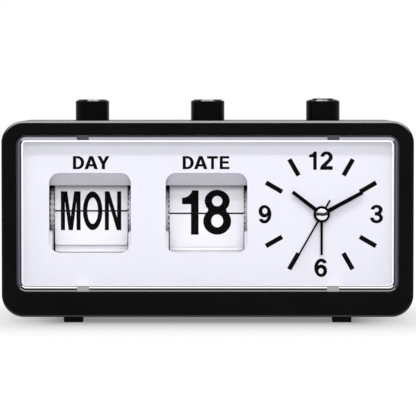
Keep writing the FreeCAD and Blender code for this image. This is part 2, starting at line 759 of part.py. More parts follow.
def make_dial_plate():
    body = new_body("dial_plate")
    wall = "(case_wall + dial_gap)"
    plate = rounded(
        "0",
        CASE_MIDDLE,
        f"case_width - 2 * {wall}",
        f"case_height - 2 * {wall}",
        f"case_corner_radius - {wall}",
    )
    add(body, "plate", "XZ_Plane", plate, DIAL_FRONT, DIAL_BACK)
    for kind in KINDS:
        middle = f"{kind}_window_x"
        window = rounded(middle, WINDOW_MIDDLE, "window_width", "window_height", "window_corner_radius")
        cut(body, f"{kind}_window", "XZ_Plane", window, DIAL_FRONT, DIAL_BACK)
        edge = f"({WINDOW_TOP} - visor_drop)"
        tip = f"({DIAL_FRONT} + visor_reach)"
        hood = polygon(
            [
                (f"{DIAL_FRONT} + visor_inset", WINDOW_TOP),
                (tip, edge),
                (f"{tip} + visor_wall", edge),
                (f"{DIAL_BACK} + visor_wall / 2", f"{WINDOW_TOP} + visor_wall"),
                (f"{DIAL_FRONT} + visor_inset", f"{WINDOW_TOP} + visor_wall"),
            ]
        )
        left = f"{middle} - window_width / 2 - visor_wall"
        right = f"{middle} + window_width / 2 + visor_wall"
        add(body, f"{kind}_visor", "YZ_Plane", hood, left, right)
        for side in (-1, 1):
            rim = f"({middle} + {side} * window_width / 2)"
            low = "(window_low - guard_root)"
            guard = rectangle(
                f"{rim} + {side} * (guard_root - guard_width) / 2",
                f"({low} + guard_top) / 2",
                "guard_width + guard_root",
                f"guard_top - {low}",
            )
            name = "left" if side < 0 else "right"
            add(body, f"{kind}_guard_{name}", "XZ_Plane", guard, DIAL_BACK, f"{DIAL_BACK} + guard_depth")
        for index, level in enumerate(FLANGE_LEVELS):
            rest = rectangle(f"{kind}_axis_x", level, f"{kind}_card_width", "flange_height - frame_wall")
            add(body, f"{kind}_rest_{index}", "XZ_Plane", rest, DIAL_BACK, "frame_front")

    def guard_corner(edge, middle, along):
        upright = abs(along.y) > 0.99 and near(middle.z, "guard_top") and middle.y > number(DIAL_BACK)
        spans = [number(f"{kind}_window_x") for kind in KINDS]
        inner = number("window_width / 2 - guard_width")
        return upright and any(near(abs(middle.x - x), str(inner)) for x in spans)

    fillet(body, "guard_round", "guard_round", guard_corner)
    for index, (x, z) in enumerate(TAB_PLACES):
        tab = rectangle(x, z, "tab_width", "tab_height")
        add(body, f"tab_{index}", "XZ_Plane", tab, f"{DIAL_FRONT} - tab_reach", DIAL_FRONT)
    centre = circle("clock_x", "clock_z", "alarm_pipe_radius + pipe_gap")
    cut(body, "hand_hole", "XZ_Plane", centre, DIAL_FRONT, DIAL_BACK)
    return body


# ---- card modules ----


def disc_inner(kind):
    return f"({kind}_card_width / 2 + disc_side_gap)"


def disc_outer(kind):
    return f"({disc_inner(kind)} + disc_width)"


def plate_inner(kind):
    return f"({disc_outer(kind)} + wheel_side_gap)"


def plate_outer(kind):
    return f"({plate_inner(kind)} + frame_wall)"


def ratchet_inner(kind):
    return f"({plate_outer(kind)} + ratchet_side_gap)"


def ratchet_outer(kind):
    return f"({ratchet_inner(kind)} + ratchet_width)"


def push_radius(kind):
    """Where the finger pushes: its travel is the chord of one step of the wheel."""
    return f"(step_travel / (2 * sin(180 / {kind}_cards)))"


def tooth_tip(kind):
    return f"({push_radius(kind)} + ratchet_depth_{kind} / 2 - finger_gap)"


def tooth_root(kind):
    return f"({tooth_tip(kind)} - ratchet_depth_{kind})"


def make_frame(kind):
    x = f"{kind}_axis_x"
    left_out = f"{x} - {plate_outer(kind)}"
    right_out = f"{x} + {plate_outer(kind)}"
    left_in = f"{x} - {plate_inner(kind)}"
    right_in = f"{x} + {plate_inner(kind)}"
    depth = ("frame_front", "frame_back")
    height = ("frame_low", "frame_top")
    wide = (left_out, right_out)
    skin = "frame_wall"
    roof = (f"frame_top - {skin}", "frame_top")
    pieces = [
        block(f"{kind}_frame_left", (left_out, left_in), depth, height),
        block(f"{kind}_frame_right", (right_in, right_out), depth, height),
        block(f"{kind}_frame_floor", wide, depth, ("frame_low", f"frame_low + {skin}")),
        block(f"{kind}_frame_roof", wide, ("frame_front", "roof_reach"), roof),
    ]
    front = ("frame_front", f"frame_front + {skin}")
    pieces.append(
        block(f"{kind}_frame_low_flange", wide, front, ("frame_low - flange_height", f"frame_low + {skin}"))
    )
    pieces.append(
        block(f"{kind}_frame_top_flange", wide, front, (f"frame_top - {skin}", "frame_top + flange_height"))
    )
    solid = fuse(f"{kind}_frame_solid", pieces)
    bores = [
        rod(
            f"{kind}_frame_bore",
            "x",
            (left_out, "0", f"{kind}_axis_z"),
            f"2 * {plate_outer(kind)}",
            "journal_radius + journal_gap",
        ),
        rod(
            f"{kind}_frame_guide",
            "z",
            (BUTTONS[kind], "0", f"frame_top - {skin}"),
            skin,
            "stem_radius + stem_gap",
        ),
    ]
    return subtract(f"{kind}_frame", solid, bores)


def make_wheel(kind):
    body = new_body(f"{kind}_wheel")
    left = f"-({plate_outer(kind)} + ratchet_side_gap)"
    right = f"{ratchet_outer(kind)} + ratchet_side_gap"
    inner, outer = disc_inner(kind), disc_outer(kind)
    profile = polygon(
        [
            (left, "0"),
            (right, "0"),
            (right, "journal_radius"),
            (outer, "journal_radius"),
            (outer, "disc_radius"),
            (inner, "disc_radius"),
            (inner, "axle_radius"),
            (f"-{inner}", "axle_radius"),
            (f"-{inner}", "disc_radius"),
            (f"-{outer}", "disc_radius"),
            (f"-{outer}", "journal_radius"),
            (left, "journal_radius"),
        ]
    )
    revolve(body, "profile", "XY_Plane", profile, "X_Axis")
    half_step = f"180 / {kind}_cards"
    y = f"-hinge_circle * cos({half_step})"
    z = f"hinge_circle * sin({half_step})"
    square = rectangle(y, z, "ear_hole_side", "ear_hole_side")
    hole = cut(body, "hole", "YZ_Plane", square, f"-{outer}", outer)
    around(body, hole, "X_Axis", f"{kind}_cards")
    place(body, f"{kind}_axis_x", "0", f"{kind}_axis_z")
    return body


def make_ratchet(kind):
    body = new_body(f"{kind}_ratchet")
    inner, outer = ratchet_inner(kind), ratchet_outer(kind)
    tip, root = tooth_tip(kind), tooth_root(kind)
    add(body, "hub", "YZ_Plane", circle("0", "0", root), inner, outer)
    half_step = f"180 / {kind}_cards"
    sunk = f"({root} - tooth_sink)"
    tooth = polygon(
        [
            (f"-{sunk} * cos({half_step})", f"{sunk} * sin({half_step})"),
            (f"-{sunk} * cos({half_step})", f"-{sunk} * sin({half_step})"),
            (f"-{root} * cos({half_step})", f"-{root} * sin({half_step})"),
            (f"-{tip} * cos({half_step})", f"{tip} * sin({half_step})"),
        ]
    )
    around(body, add(body, "tooth", "YZ_Plane", tooth, inner, outer), "X_Axis", f"{kind}_cards")
    cut(body, "bore", "YZ_Plane", circle("0", "0", "journal_radius + hand_fit"), inner, outer)
    place(body, f"{kind}_axis_x", "0", f"{kind}_axis_z")
    return body


UP = FreeCAD.Rotation()
DOWN = FreeCAD.Rotation(FreeCAD.Vector(1, 0, 0), 180)


def make_card(kind, name, step, turn):
    """One hinged card. Its hinge is at its own origin, and step counts from the upper card in view."""
    body = new_body(f"{kind}_card_{name}")
    sheet_half = f"{kind}_card_sheet / 2"
    reach, heel = f"{kind}_card_reach", f"{kind}_card_heel"
    face = rectangle("0", f"({reach} - {heel}) / 2", f"{kind}_card_width", f"{reach} + {heel}")
    add(body, "face", "XZ_Plane", face, f"-{sheet_half}", sheet_half)
    ears = rectangle("0", "0", f"2 * ({disc_inner(kind)} + ear_depth)", "ear_height")
    add(body, "ears", "XZ_Plane", ears, f"-{sheet_half}", sheet_half)
    tip = number(reach)
    fillet(
        body,
        "corners",
        "card_corner_radius",
        lambda edge, middle, along: abs(along.y) > 0.99 and abs(middle.z - tip) < 0.01,
    )
    body.Placement = FreeCAD.Placement(FreeCAD.Vector(), turn)
    angle = f"({step} + 0.5) * 360 / {kind}_cards"
    place(
        body,
        f"{kind}_axis_x",
        f"-hinge_circle * cos({angle})",
        f"{kind}_axis_z + hinge_circle * sin({angle})",
    )
    return body


def make_card_pack(kind, hanging):
    """The cards out of view, fanned over the wheel. hanging is how many hang in front of it."""
    count = round(number(f"{kind}_cards"))
    step = 360 / count
    circle_radius = number("hinge_circle")
    axis = FreeCAD.Vector(number(f"{kind}_axis_x"), 0, number(f"{kind}_axis_z"))
    half_sheet = number(f"{kind}_card_sheet / 2")
    half_width = number(f"{kind}_card_width / 2")
    half_ear = number("ear_height / 2")
    ear_end = number(f"{disc_inner(kind)} + ear_depth")
    heel, reach = number(f"{kind}_card_heel"), number(f"{kind}_card_reach")
    face = Part.makeBox(2 * half_width, 2 * half_sheet, heel + reach)
    face.translate(FreeCAD.Vector(-half_width, -half_sheet, -heel))
    ears = Part.makeBox(2 * ear_end, 2 * half_sheet, 2 * half_ear)
    ears.translate(FreeCAD.Vector(-ear_end, -half_sheet, -half_ear))
    card = face.fuse(ears).removeSplitter()
    cards = []
    for index in range(2, count - hanging):
        angle = math.radians((index + 0.5) * step)
        lean = min((index - 1) * step, 180)
        arm = FreeCAD.Vector(0, -math.cos(angle), math.sin(angle)) * circle_radius
        turn = FreeCAD.Rotation(FreeCAD.Vector(1, 0, 0), -lean)
        copy = card.copy()
        copy.Placement = FreeCAD.Placement(axis + arm, turn)
        cards.append(copy)
    pack = document.addObject("Part::Feature", f"{kind}_card_pack")
    pack.Shape = Part.makeCompound(cards)
    return pack


def make_push_arm(kind):
    """A strap under the button, a blade down beside the frame and a finger behind a tooth."""
    x = f"{kind}_axis_x"
    inner = f"({x} + {ratchet_inner(kind)})"
    outer = f"({x} + {ratchet_outer(kind)})"
    blade_back = f"(-{tooth_tip(kind)} - arm_gap)"
    blade_front = f"({blade_back} - arm_width)"
    finger_low = f"({kind}_axis_z + {tooth_tip(kind)} * sin(180 / {kind}_cards) + finger_gap)"
    half_strap = "(stem_radius + arm_width)"
    body = new_body(f"{kind}_push_arm")
    strap = polygon(
        [
            (f"{BUTTONS[kind]} - {half_strap}", f"-{half_strap}"),
            (f"{BUTTONS[kind]} + {half_strap}", f"-{half_strap}"),
            (inner, blade_front),
            (outer, blade_front),
            (outer, blade_back),
            (f"{BUTTONS[kind]} + {half_strap}", half_strap),
            (f"{BUTTONS[kind]} - {half_strap}", half_strap),
        ]
    )
    add(body, "strap", "XY_Plane", strap, STRAP_LOW, COLLAR_LOW)
    middle_y = f"({blade_back} + {blade_front}) / 2"
    blade = rectangle(f"({inner} + {outer}) / 2", middle_y, "ratchet_width", "arm_width")
    add(body, "blade", "XY_Plane", blade, finger_low, STRAP_LOW)
    finger_end = f"(-{push_radius(kind)} + finger_bite)"
    finger = polygon(
        [
            (blade_back, finger_low),
            (finger_end, finger_low),
            (finger_end, f"{finger_low} + finger_tip"),
            (blade_back, f"{finger_low} + finger_root"),
        ]
    )
    add(body, "finger", "YZ_Plane", finger, inner, outer)
    hole = circle(BUTTONS[kind], "0", "stem_radius + hand_fit")
    cut(body, "eye", "XY_Plane", hole, STRAP_LOW, COLLAR_LOW)
    return body


# ---- push buttons ----


def make_button(kind, stem_low):
    """A cap in one piece with its stem and with two lugs that keep it in the housing."""
    body = new_body(f"{kind}_button")
    top = f"({CASE_TOP} + button_rise)"
    profile = polygon(
        [
            ("0", stem_low),
            ("stem_radius", stem_low),
            ("stem_radius", COLLAR_LOW),
            ("button_radius", COLLAR_LOW),
            ("button_radius", f"{top} - button_bevel"),
            ("button_radius - 2 * button_bevel", top),
            ("0", top),
        ]
    )
    revolve(body, "profile", "XZ_Plane", profile, "Z_Axis")
    lugs = rectangle("0", "0", "collar_width", "collar_depth")
    add(body, "lugs", "XY_Plane", lugs, COLLAR_LOW, COLLAR_TOP)
    place(body, BUTTONS[kind], "0", "0")
    return body


def make_snooze_button():
    body = make_button("snooze", f"({BOARD_TOP} + switch_height + snooze_travel + plunger_gap)")
    top = f"({CASE_TOP} + button_rise)"
    disc = circle("0", "0", "snooze_disc_radius")
    add(body, "disc", "XY_Plane", disc, top, f"{top} + snooze_disc_height")
    return body


def make_spring(kind, low, high):
    """A return spring around the button's stem: a square wire bent in short straight runs."""
    wire = number("spring_wire_radius")
    radius = number("spring_radius")
    seat = number("spring_seat_gap")
    start = number(low) + seat + wire
    length = number(high) - seat - wire - start
    steps = round(number("spring_steps"))
    runs = round(number("spring_turns")) * steps
    axis_x = number(BUTTONS[kind])
    rings = []
    for index in range(runs + 1):
        angle = 2 * math.pi * index / steps
        outward = FreeCAD.Vector(math.cos(angle), math.sin(angle), 0)
        middle = FreeCAD.Vector(axis_x, 0, start + length * index / runs) + outward * radius
        lift = FreeCAD.Vector(0, 0, wire)
        side = outward * wire
        corners = [middle + side + lift, middle - side + lift, middle - side - lift, middle + side - lift]
        rings.append(Part.makePolygon(corners + corners[:1]))
    spring = document.addObject("Part::Feature", f"{kind}_button_spring")
    spring.Shape = Part.makeLoft(rings, True, True)
    return spring


def make_snooze_board():
    x = BUTTONS["snooze"]
    half = "board_width / 2"
    return block(
        "snooze_board",
        (f"{x} - {half}", f"{x} + {half}"),
        ("-board_depth / 2", "board_depth / 2"),
        ("board_z", BOARD_TOP),
    )


def make_snooze_switch():
    x = BUTTONS["snooze"]
    half = "switch_side / 2"
    housing = block(
        "snooze_switch_case",
        (f"{x} - {half}", f"{x} + {half}"),
        (f"-{half}", half),
        (BOARD_TOP, f"{BOARD_TOP} + switch_height"),
    )
    start = (x, "0", f"{BOARD_TOP} + switch_floor")
    depth = "switch_height - switch_floor"
    bore = rod("snooze_switch_bore", "z", start, depth, "plunger_radius + plunger_gap")
    return subtract("snooze_switch", housing, [bore])


def make_snooze_plunger():
    low = f"({BOARD_TOP} + switch_floor + snooze_travel + plunger_gap)"
    high = f"({BOARD_TOP} + switch_height + snooze_travel + plunger_gap)"
    return rod("snooze_plunger", "z", (BUTTONS["snooze"], "0", low), f"{high} - {low}", "plunger_radius")


# ---- clock movement and hands ----

MOVEMENT_BACK = f"({DIAL_BACK} + movement_depth)"
PIPE_END = f"({DIAL_BACK} + pipe_depth)"


def make_movement_housing():
    body = new_body("movement_housing")
    case = rectangle("clock_x", "clock_z", "movement_side", "movement_side")
    add(body, "case", "XZ_Plane", case, DIAL_BACK, MOVEMENT_BACK)
    for side in (-1, 1):
        x = f"clock_x + {side} * lug_across"
        lug = rectangle(x, "clock_z", "lug_width", "movement_side + 2 * lug_reach")
        name = "left" if side < 0 else "right"
        add(body, f"lugs_{name}", "XZ_Plane", lug, DIAL_BACK, f"{DIAL_BACK} + lug_thickness")

    def upright_corner(edge, middle, along):
        lugs = abs(middle.z - number("clock_z")) > number("movement_side / 2") + 0.01
        return abs(along.y) > 0.99 and not lugs and middle.y > number(f"{DIAL_BACK} + lug_thickness")

    chamfer(body, "corners", "lug_thickness", upright_corner)
    bore = circle("clock_x", "clock_z", "alarm_pipe_radius + pipe_gap")
    cut(body, "hand_bore", "XZ_Plane", bore, DIAL_BACK, f"{PIPE_END} + pipe_gap")
    knobs = {"time": ("clock_x", "clock_z"), "alarm": ("alarm_knob_x", "alarm_knob_z")}
    for name, (x, z) in knobs.items():
        stem = circle(x, z, "knob_stem_radius + pipe_gap")
        low = f"{MOVEMENT_BACK} - knob_stem_depth - pipe_gap"
        cut(body, f"{name}_stem_bore", "XZ_Plane", stem, low, MOVEMENT_BACK)
    return body


PIPE_OUTER = {
    "alarm": "alarm_pipe_radius",
    "hour": "hour_pipe_radius",
    "minute": "minute_pipe_radius",
    "second": "second_arbor_radius",
}


def make_pipe(name, inner):
    """A pipe, or the solid arbor at the middle, from inside the movement to the face of its hand."""
    front = f"({DIAL_FRONT} - {name}_hand_level - hand_sheet)"
    start = ("clock_x", front, "clock_z")
    length = f"{PIPE_END} - {front}"
    if inner is None:
        return rod("second_arbor", "y", start, length, PIPE_OUTER[name])
    outer = rod(f"{name}_pipe_outer", "y", start, length, PIPE_OUTER[name])
    bore = rod(f"{name}_pipe_bore", "y", start, length, f"{inner} + pipe_gap")
    return subtract(f"{name}_pipe", outer, [bore])


def make_hand(name, hub, tail):
    """A flat hand: its disc, its tapering bar and its hole, drawn pointing at twelve."""
    body = new_body(f"{name}_hand")
    high = f"{DIAL_FRONT} - {name}_hand_level"
    low = f"{high} - hand_sheet"
    add(body, "disc", "XZ_Plane", circle("0", "0", hub), low, high)
    half = f"{name}_hand_width / 2"
    tip = f"{half} * hand_tip_share"
    length = f"{name}_hand_length"
    bar = polygon([(f"-{half}", tail), (half, tail), (tip, length), (f"-{tip}", length)])
    add(body, "bar", "XZ_Plane", bar, low, high)
    hole = circle("0", "0", f"{PIPE_OUTER[name]} + hand_fit")
    cut(body, "hole", "XZ_Plane", hole, low, high)
    turn = FreeCAD.Rotation(FreeCAD.Vector(0, 1, 0), number(f"{name}_hand_angle"))
    body.Placement = FreeCAD.Placement(FreeCAD.Vector(), turn)
    tie(body, "Placement.Rotation.Angle", f"{name}_hand_angle")
    place(body, "clock_x", "0", "clock_z")
    return body


def make_second_cap():
    """The bright cap: a disc with a bevelled face."""
    body = new_body("second_hand_cap")
    back = f"({DIAL_FRONT} - second_hand_level - hand_sheet)"
    front = f"({back} - cap_height)"
    add(body, "disc", "XZ_Plane", circle("0", "0", "cap_radius"), front, back)

    def front_edge(edge, middle, along):
        return near(middle.y, front)

    chamfer(body, "dome", "cap_bevel", front_edge)
    place(body, "clock_x", "0", "clock_z")
    return body


# ---- rear cover and what it carries ----

WELL_FLOOR = f"({REAR} - well_depth)"
BOX_FRONT = f"({REAR} - door_thickness - battery_depth)"
DOOR_LOW = "(battery_low - door_lip)"
DOOR_HIGH = "(battery_low + battery_height + door_lip)"
DOOR_AXIS_Y = f"({REAR} - door_thickness / 2)"
DOOR_AXIS_Z = f"({DOOR_LOW} + door_thickness / 2)"
KNOBS = {
    "time": ("clock_x", "clock_z", "time_knob_radius", "knob_well_radius"),
    "alarm": ("alarm_knob_x", "alarm_knob_z", "alarm_knob_radius", "alarm_well_radius"),
}
SLIDE_MIDDLE = "(slide_x + slide_travel / 2)"


def make_rear_cover():
    body = new_body("rear_cover")
    wall = "(case_wall + cover_gap)"
    plate = rounded(
        "0",
        CASE_MIDDLE,
        f"case_width - 2 * {wall}",
        f"case_height - 2 * {wall}",
        f"case_corner_radius - {wall}",
    )
    add(body, "plate", "XZ_Plane", plate, COVER_FRONT, REAR)
    box_middle = "(battery_low + battery_height / 2)"
    box = rectangle(
        "battery_x",
        box_middle,
        "battery_width + 2 * battery_wall",
        "battery_height + 2 * battery_wall",
    )
    add(body, "battery_box", "XZ_Plane", box, f"{BOX_FRONT} - battery_wall", COVER_FRONT)
    for name, (x, z, knob, well) in KNOBS.items():
        ring = circle(x, z, f"{well} + well_wall")
        add(body, f"{name}_well", "XZ_Plane", ring, f"{WELL_FLOOR} - well_wall", COVER_FRONT)
    inside = rectangle("battery_x", box_middle, "battery_width", "battery_height")
    cut(body, "battery_inside", "XZ_Plane", inside, BOX_FRONT, REAR)
    door = rectangle(
        "battery_x",
        f"({DOOR_LOW} + {DOOR_HIGH}) / 2",
        "battery_width + 2 * door_lip + 2 * door_gap",
        f"{DOOR_HIGH} - {DOOR_LOW} + 2 * door_gap",
    )
    cut(body, "door_seat", "XZ_Plane", door, f"{REAR} - door_thickness - door_gap", REAR)
    notch = rectangle("battery_x", DOOR_HIGH, "door_notch_width", "2 * door_notch_height")
    cut(body, "door_notch", "XZ_Plane", notch, f"{REAR} - door_thickness / 2", REAR)
    for side in (-1, 1):
        rim = f"(battery_x + {side} * (battery_width / 2 + door_lip + door_gap))"
        reach = f"{rim} + {side} * door_pin_length"
        low, high = (reach, rim) if side < 0 else (rim, reach)
        socket = circle(DOOR_AXIS_Y, DOOR_AXIS_Z, "door_pin_radius + door_pin_gap")
        name = "left" if side < 0 else "right"
        cut(body, f"door_socket_{name}", "YZ_Plane", socket, low, high)
    for name, (x, z, knob, well) in KNOBS.items():
        cut(body, f"{name}_well_inside", "XZ_Plane", circle(x, z, well), WELL_FLOOR, REAR)
        stem = circle(x, z, "knob_stem_radius + button_gap")
        cut(body, f"{name}_stem_hole", "XZ_Plane", stem, f"{WELL_FLOOR} - well_wall", WELL_FLOOR)
    for index in range(round(number("sound_slots"))):
        level = f"buzzer_z + ({index} - (sound_slots - 1) / 2) * sound_slot_pitch"
        slot = rectangle("buzzer_x", level, "sound_slot_width", "sound_slot_height")
        cut(body, f"sound_slot_{index}", "XZ_Plane", slot, COVER_FRONT, REAR)
    slot = rectangle(
        SLIDE_MIDDLE,
        "slide_z",
        "slide_width + slide_travel + 2 * slide_gap",
        "slide_height + 2 * slide_gap",
    )
    cut(body, "slide_slot", "XZ_Plane", slot, COVER_FRONT, REAR)
    for index, (x, z) in enumerate(COVER_POSTS):
        hole = regular(x, z, "screw_radius + screw_gap")
        cut(body, f"screw_hole_{index}", "XZ_Plane", hole, COVER_FRONT, REAR)
        well = regular(x, z, "screw_head_radius + screw_well_gap")
        cut(body, f"screw_well_{index}", "XZ_Plane", well, f"{REAR} - screw_head_height", REAR)
    return body


def make_battery_door():
    """The door turns about two pins at its lower edge, which is round about the same axis."""
    body = new_body("battery_door")
    width = "(battery_width + 2 * door_lip)"
    plate = rectangle(
        "battery_x",
        f"({DOOR_AXIS_Z} + {DOOR_HIGH}) / 2",
        width,
        f"{DOOR_HIGH} - {DOOR_AXIS_Z}",
    )
    add(body, "plate", "XZ_Plane", plate, f"{REAR} - door_thickness", REAR)
    left, right = f"battery_x - {width} / 2", f"battery_x + {width} / 2"
    knuckle = circle(DOOR_AXIS_Y, DOOR_AXIS_Z, "door_thickness / 2")
    add(body, "knuckle", "YZ_Plane", knuckle, left, right)
    pins = circle(DOOR_AXIS_Y, DOOR_AXIS_Z, "door_pin_radius")
    add(body, "pins", "YZ_Plane", pins, f"{left} - door_pin_length", f"{right} + door_pin_length")
    return body


CELL_LEVELS = ["(battery_low + battery_height / 4)", "(battery_low + battery_height * 3 / 4)"]
CELL_Y = f"({BOX_FRONT} + cell_radius + contact_sheet / 2)"
BOX_LEFT = "(battery_x - battery_width / 2)"
BOX_RIGHT = "(battery_x + battery_width / 2)"


def make_battery_cells():
    """Two cells side by side, turned opposite ways as in a series pair."""
    cells = []
    for index, level in enumerate(CELL_LEVELS):
        cap_end = f"({BOX_LEFT} + contact_sheet)" if index else f"({BOX_RIGHT} - contact_sheet)"
        toward = 1 if index else -1
        can_start = f"({cap_end} + {toward} * cell_cap_height)"
        cap_low = cap_end if index else can_start
        can_low = can_start if index else f"({can_start} - cell_length)"
        cap = rod(f"cell_cap_{index}", "x", (cap_low, CELL_Y, level), "cell_cap_height", "cell_cap_radius")
        can = rod(f"cell_can_{index}", "x", (can_low, CELL_Y, level), "cell_length", "cell_radius")
        cells.append(fuse(f"cell_{index}", [can, cap]))
    return group("battery_cells", cells)


def make_battery_contacts():
    """Flat plates behind the caps, and a bent spring against each cell's other end."""
    pieces = []
    half = "contact_side / 2"
    spring_end = "(contact_sheet + cell_cap_height + cell_length)"
    for index, level in enumerate(CELL_LEVELS):
        height = (f"{level} - {half}", f"{level} + {half}")
        depth = (f"{CELL_Y} - {half}", f"{CELL_Y} + {half}")
        left = (BOX_LEFT, f"{BOX_LEFT} + contact_sheet")
        right = (f"{BOX_RIGHT} - contact_sheet", BOX_RIGHT)
        pieces.append(block(f"contact_left_{index}", left, depth, height))
        pieces.append(block(f"contact_right_{index}", right, depth, height))
        side = -1 if index else 1
        wall = f"({BOX_RIGHT} - contact_sheet)" if index else f"({BOX_LEFT} + contact_sheet)"
        near_cell = (
            f"({BOX_LEFT} + {spring_end})" if index else f"({BOX_RIGHT} - {spring_end})"
        )
        body = new_body(f"contact_spring_{index}")
        thick = f"{side} * contact_sheet"
        low_z, high_z = f"{level} - {half} / 2", f"{level} + {half} / 2"
        blade = polygon(
            [
                (wall, low_z),
                (near_cell, level),
                (wall, high_z),
                (wall, f"{high_z} - 2 * contact_sheet"),
                (f"{near_cell} - 2 * {thick}", level),
                (wall, f"{low_z} + 2 * contact_sheet"),
            ]
        )
        add(body, "blade", "XZ_Plane", blade, f"{CELL_Y} - {half} / 2", f"{CELL_Y} + {half} / 2")
        pieces.append(body)
    return group("battery_contacts", pieces)


def make_knob(name):
    x, z, radius, well = KNOBS[name]
    body = new_body(f"{name}_knob")
    floor = f"({WELL_FLOOR} + knob_floor_gap)"
    ribs = toothed("knob_ribs", radius, f"({radius} - knob_rib_depth)")
    add(body, "disc", "XZ_Plane", ribs, floor, f"{floor} + knob_height")
    stem = circle("0", "0", "knob_stem_radius")
    add(body, "stem", "XZ_Plane", stem, f"{MOVEMENT_BACK} - knob_stem_depth", floor)
    place(body, x, "0", z)
    return body


def make_buzzer():
    start = ("buzzer_x", f"{COVER_FRONT} - buzzer_height", "buzzer_z")
    return rod("alarm_buzzer", "y", start, "buzzer_height", "buzzer_radius")


def make_slide():
    """The slide's button stands in its slot, with its foot in the switch body's channel."""
    half = "slide_height / 2"
    return block(
        "alarm_slide",
        ("slide_x - slide_width / 2", "slide_x + slide_width / 2"),
        (f"{COVER_FRONT} - slide_body_depth / 2", f"{REAR} - slide_gap"),
        (f"slide_z - {half}", f"slide_z + {half}"),
    )


def make_slide_switch():
    half_width = "(slide_travel + slide_width)"
    half_height = "slide_height"
    case = block(
        "alarm_switch_case",
        (f"{SLIDE_MIDDLE} - {half_width}", f"{SLIDE_MIDDLE} + {half_width}"),
        (f"{COVER_FRONT} - slide_body_depth", COVER_FRONT),
        (f"slide_z - {half_height}", f"slide_z + {half_height}"),
    )
    reach = "(slide_width / 2 + slide_travel / 2 + slide_gap)"
    rise = "(slide_height / 2 + slide_gap)"
    channel = block(
        "alarm_switch_channel",
        (f"{SLIDE_MIDDLE} - {reach}", f"{SLIDE_MIDDLE} + {reach}"),
        (f"{COVER_FRONT} - slide_body_depth / 2 - slide_gap", COVER_FRONT),
        (f"slide_z - {rise}", f"slide_z + {rise}"),
    )
    return subtract("alarm_switch", case, [channel])


# ---- screws ----


def screw(name, x, z):
    """A pan-head screw from the bottom of its counterbore forward into its post."""
    seat = f"({REAR} - screw_head_height)"
    length = "(screw_length + cover_thickness - screw_head_height)"
    head = prism(f"{name}_head", (x, seat, z), "screw_head_height", "screw_head_radius")
    shank = prism(f"{name}_shank", (x, f"{seat} - {length}", z), length, "screw_radius")
    return fuse(name, [head, shank])


def make_cover_screws():
    screws = [screw(f"cover_screw_{index}", x, z) for index, (x, z) in enumerate(COVER_POSTS)]
    return group("cover_screws", screws)


# ---- the whole clock ----

HANGING = {"day": ("low", "under"), "date": ("low", "under", "third")}

subparts = [make_case_shell(), make_feet(), make_lens(), make_dial_plate()]
for kind in KINDS:
    subparts += [make_frame(kind), make_wheel(kind), make_ratchet(kind)]
    subparts += [make_card(kind, "top", 0, UP), make_card(kind, "next", 1, UP)]
    for index, name in enumerate(HANGING[kind]):
        subparts.append(make_card(kind, name, -1 - index, DOWN))
    subparts.append(make_card_pack(kind, len(HANGING[kind])))
    subparts += [make_push_arm(kind), make_button(kind, "stem_end")]
    subparts += [make_spring(kind, "frame_top", STRAP_LOW)]
subparts += [make_snooze_button(), make_spring("snooze", f"({BOARD_TOP} + switch_height)", COLLAR_LOW)]
subparts += [make_snooze_board(), make_snooze_switch(), make_snooze_plunger()]
subparts.append(make_movement_housing())
subparts += [make_pipe("alarm", PIPE_OUTER["hour"]), make_pipe("hour", PIPE_OUTER["minute"])]
subparts += [make_pipe("minute", PIPE_OUTER["second"]), make_pipe("second", None)]
subparts += [make_hand("alarm", "hour_hub_radius", "0"), make_hand("hour", "hour_hub_radius", "0")]
subparts += [make_hand("minute", "minute_hub_radius", "0")]
subparts += [make_hand("second", "second_hub_radius", "-second_hand_tail"), make_second_cap()]
subparts += [make_rear_cover(), make_battery_door(), make_battery_cells(), make_battery_contacts()]
subparts += [make_knob("time"), make_knob("alarm"), make_buzzer(), make_slide(), make_slide_switch()]
subparts.append(make_cover_screws())
document.recompute()

for item in document.Objects:
    if "Invalid" in item.State or "Error" in item.State:
        raise RuntimeError(f"{item.Label} failed: {item.State}")
for item in subparts:
    if item.Shape.isNull() or not item.Shape.isValid():
        raise RuntimeError(f"{item.Label} has no valid shape")

os.makedirs("parts", exist_ok=True)
for item in subparts:
    item.Shape.exportStep(f"parts/{item.Label}.step")
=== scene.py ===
import math

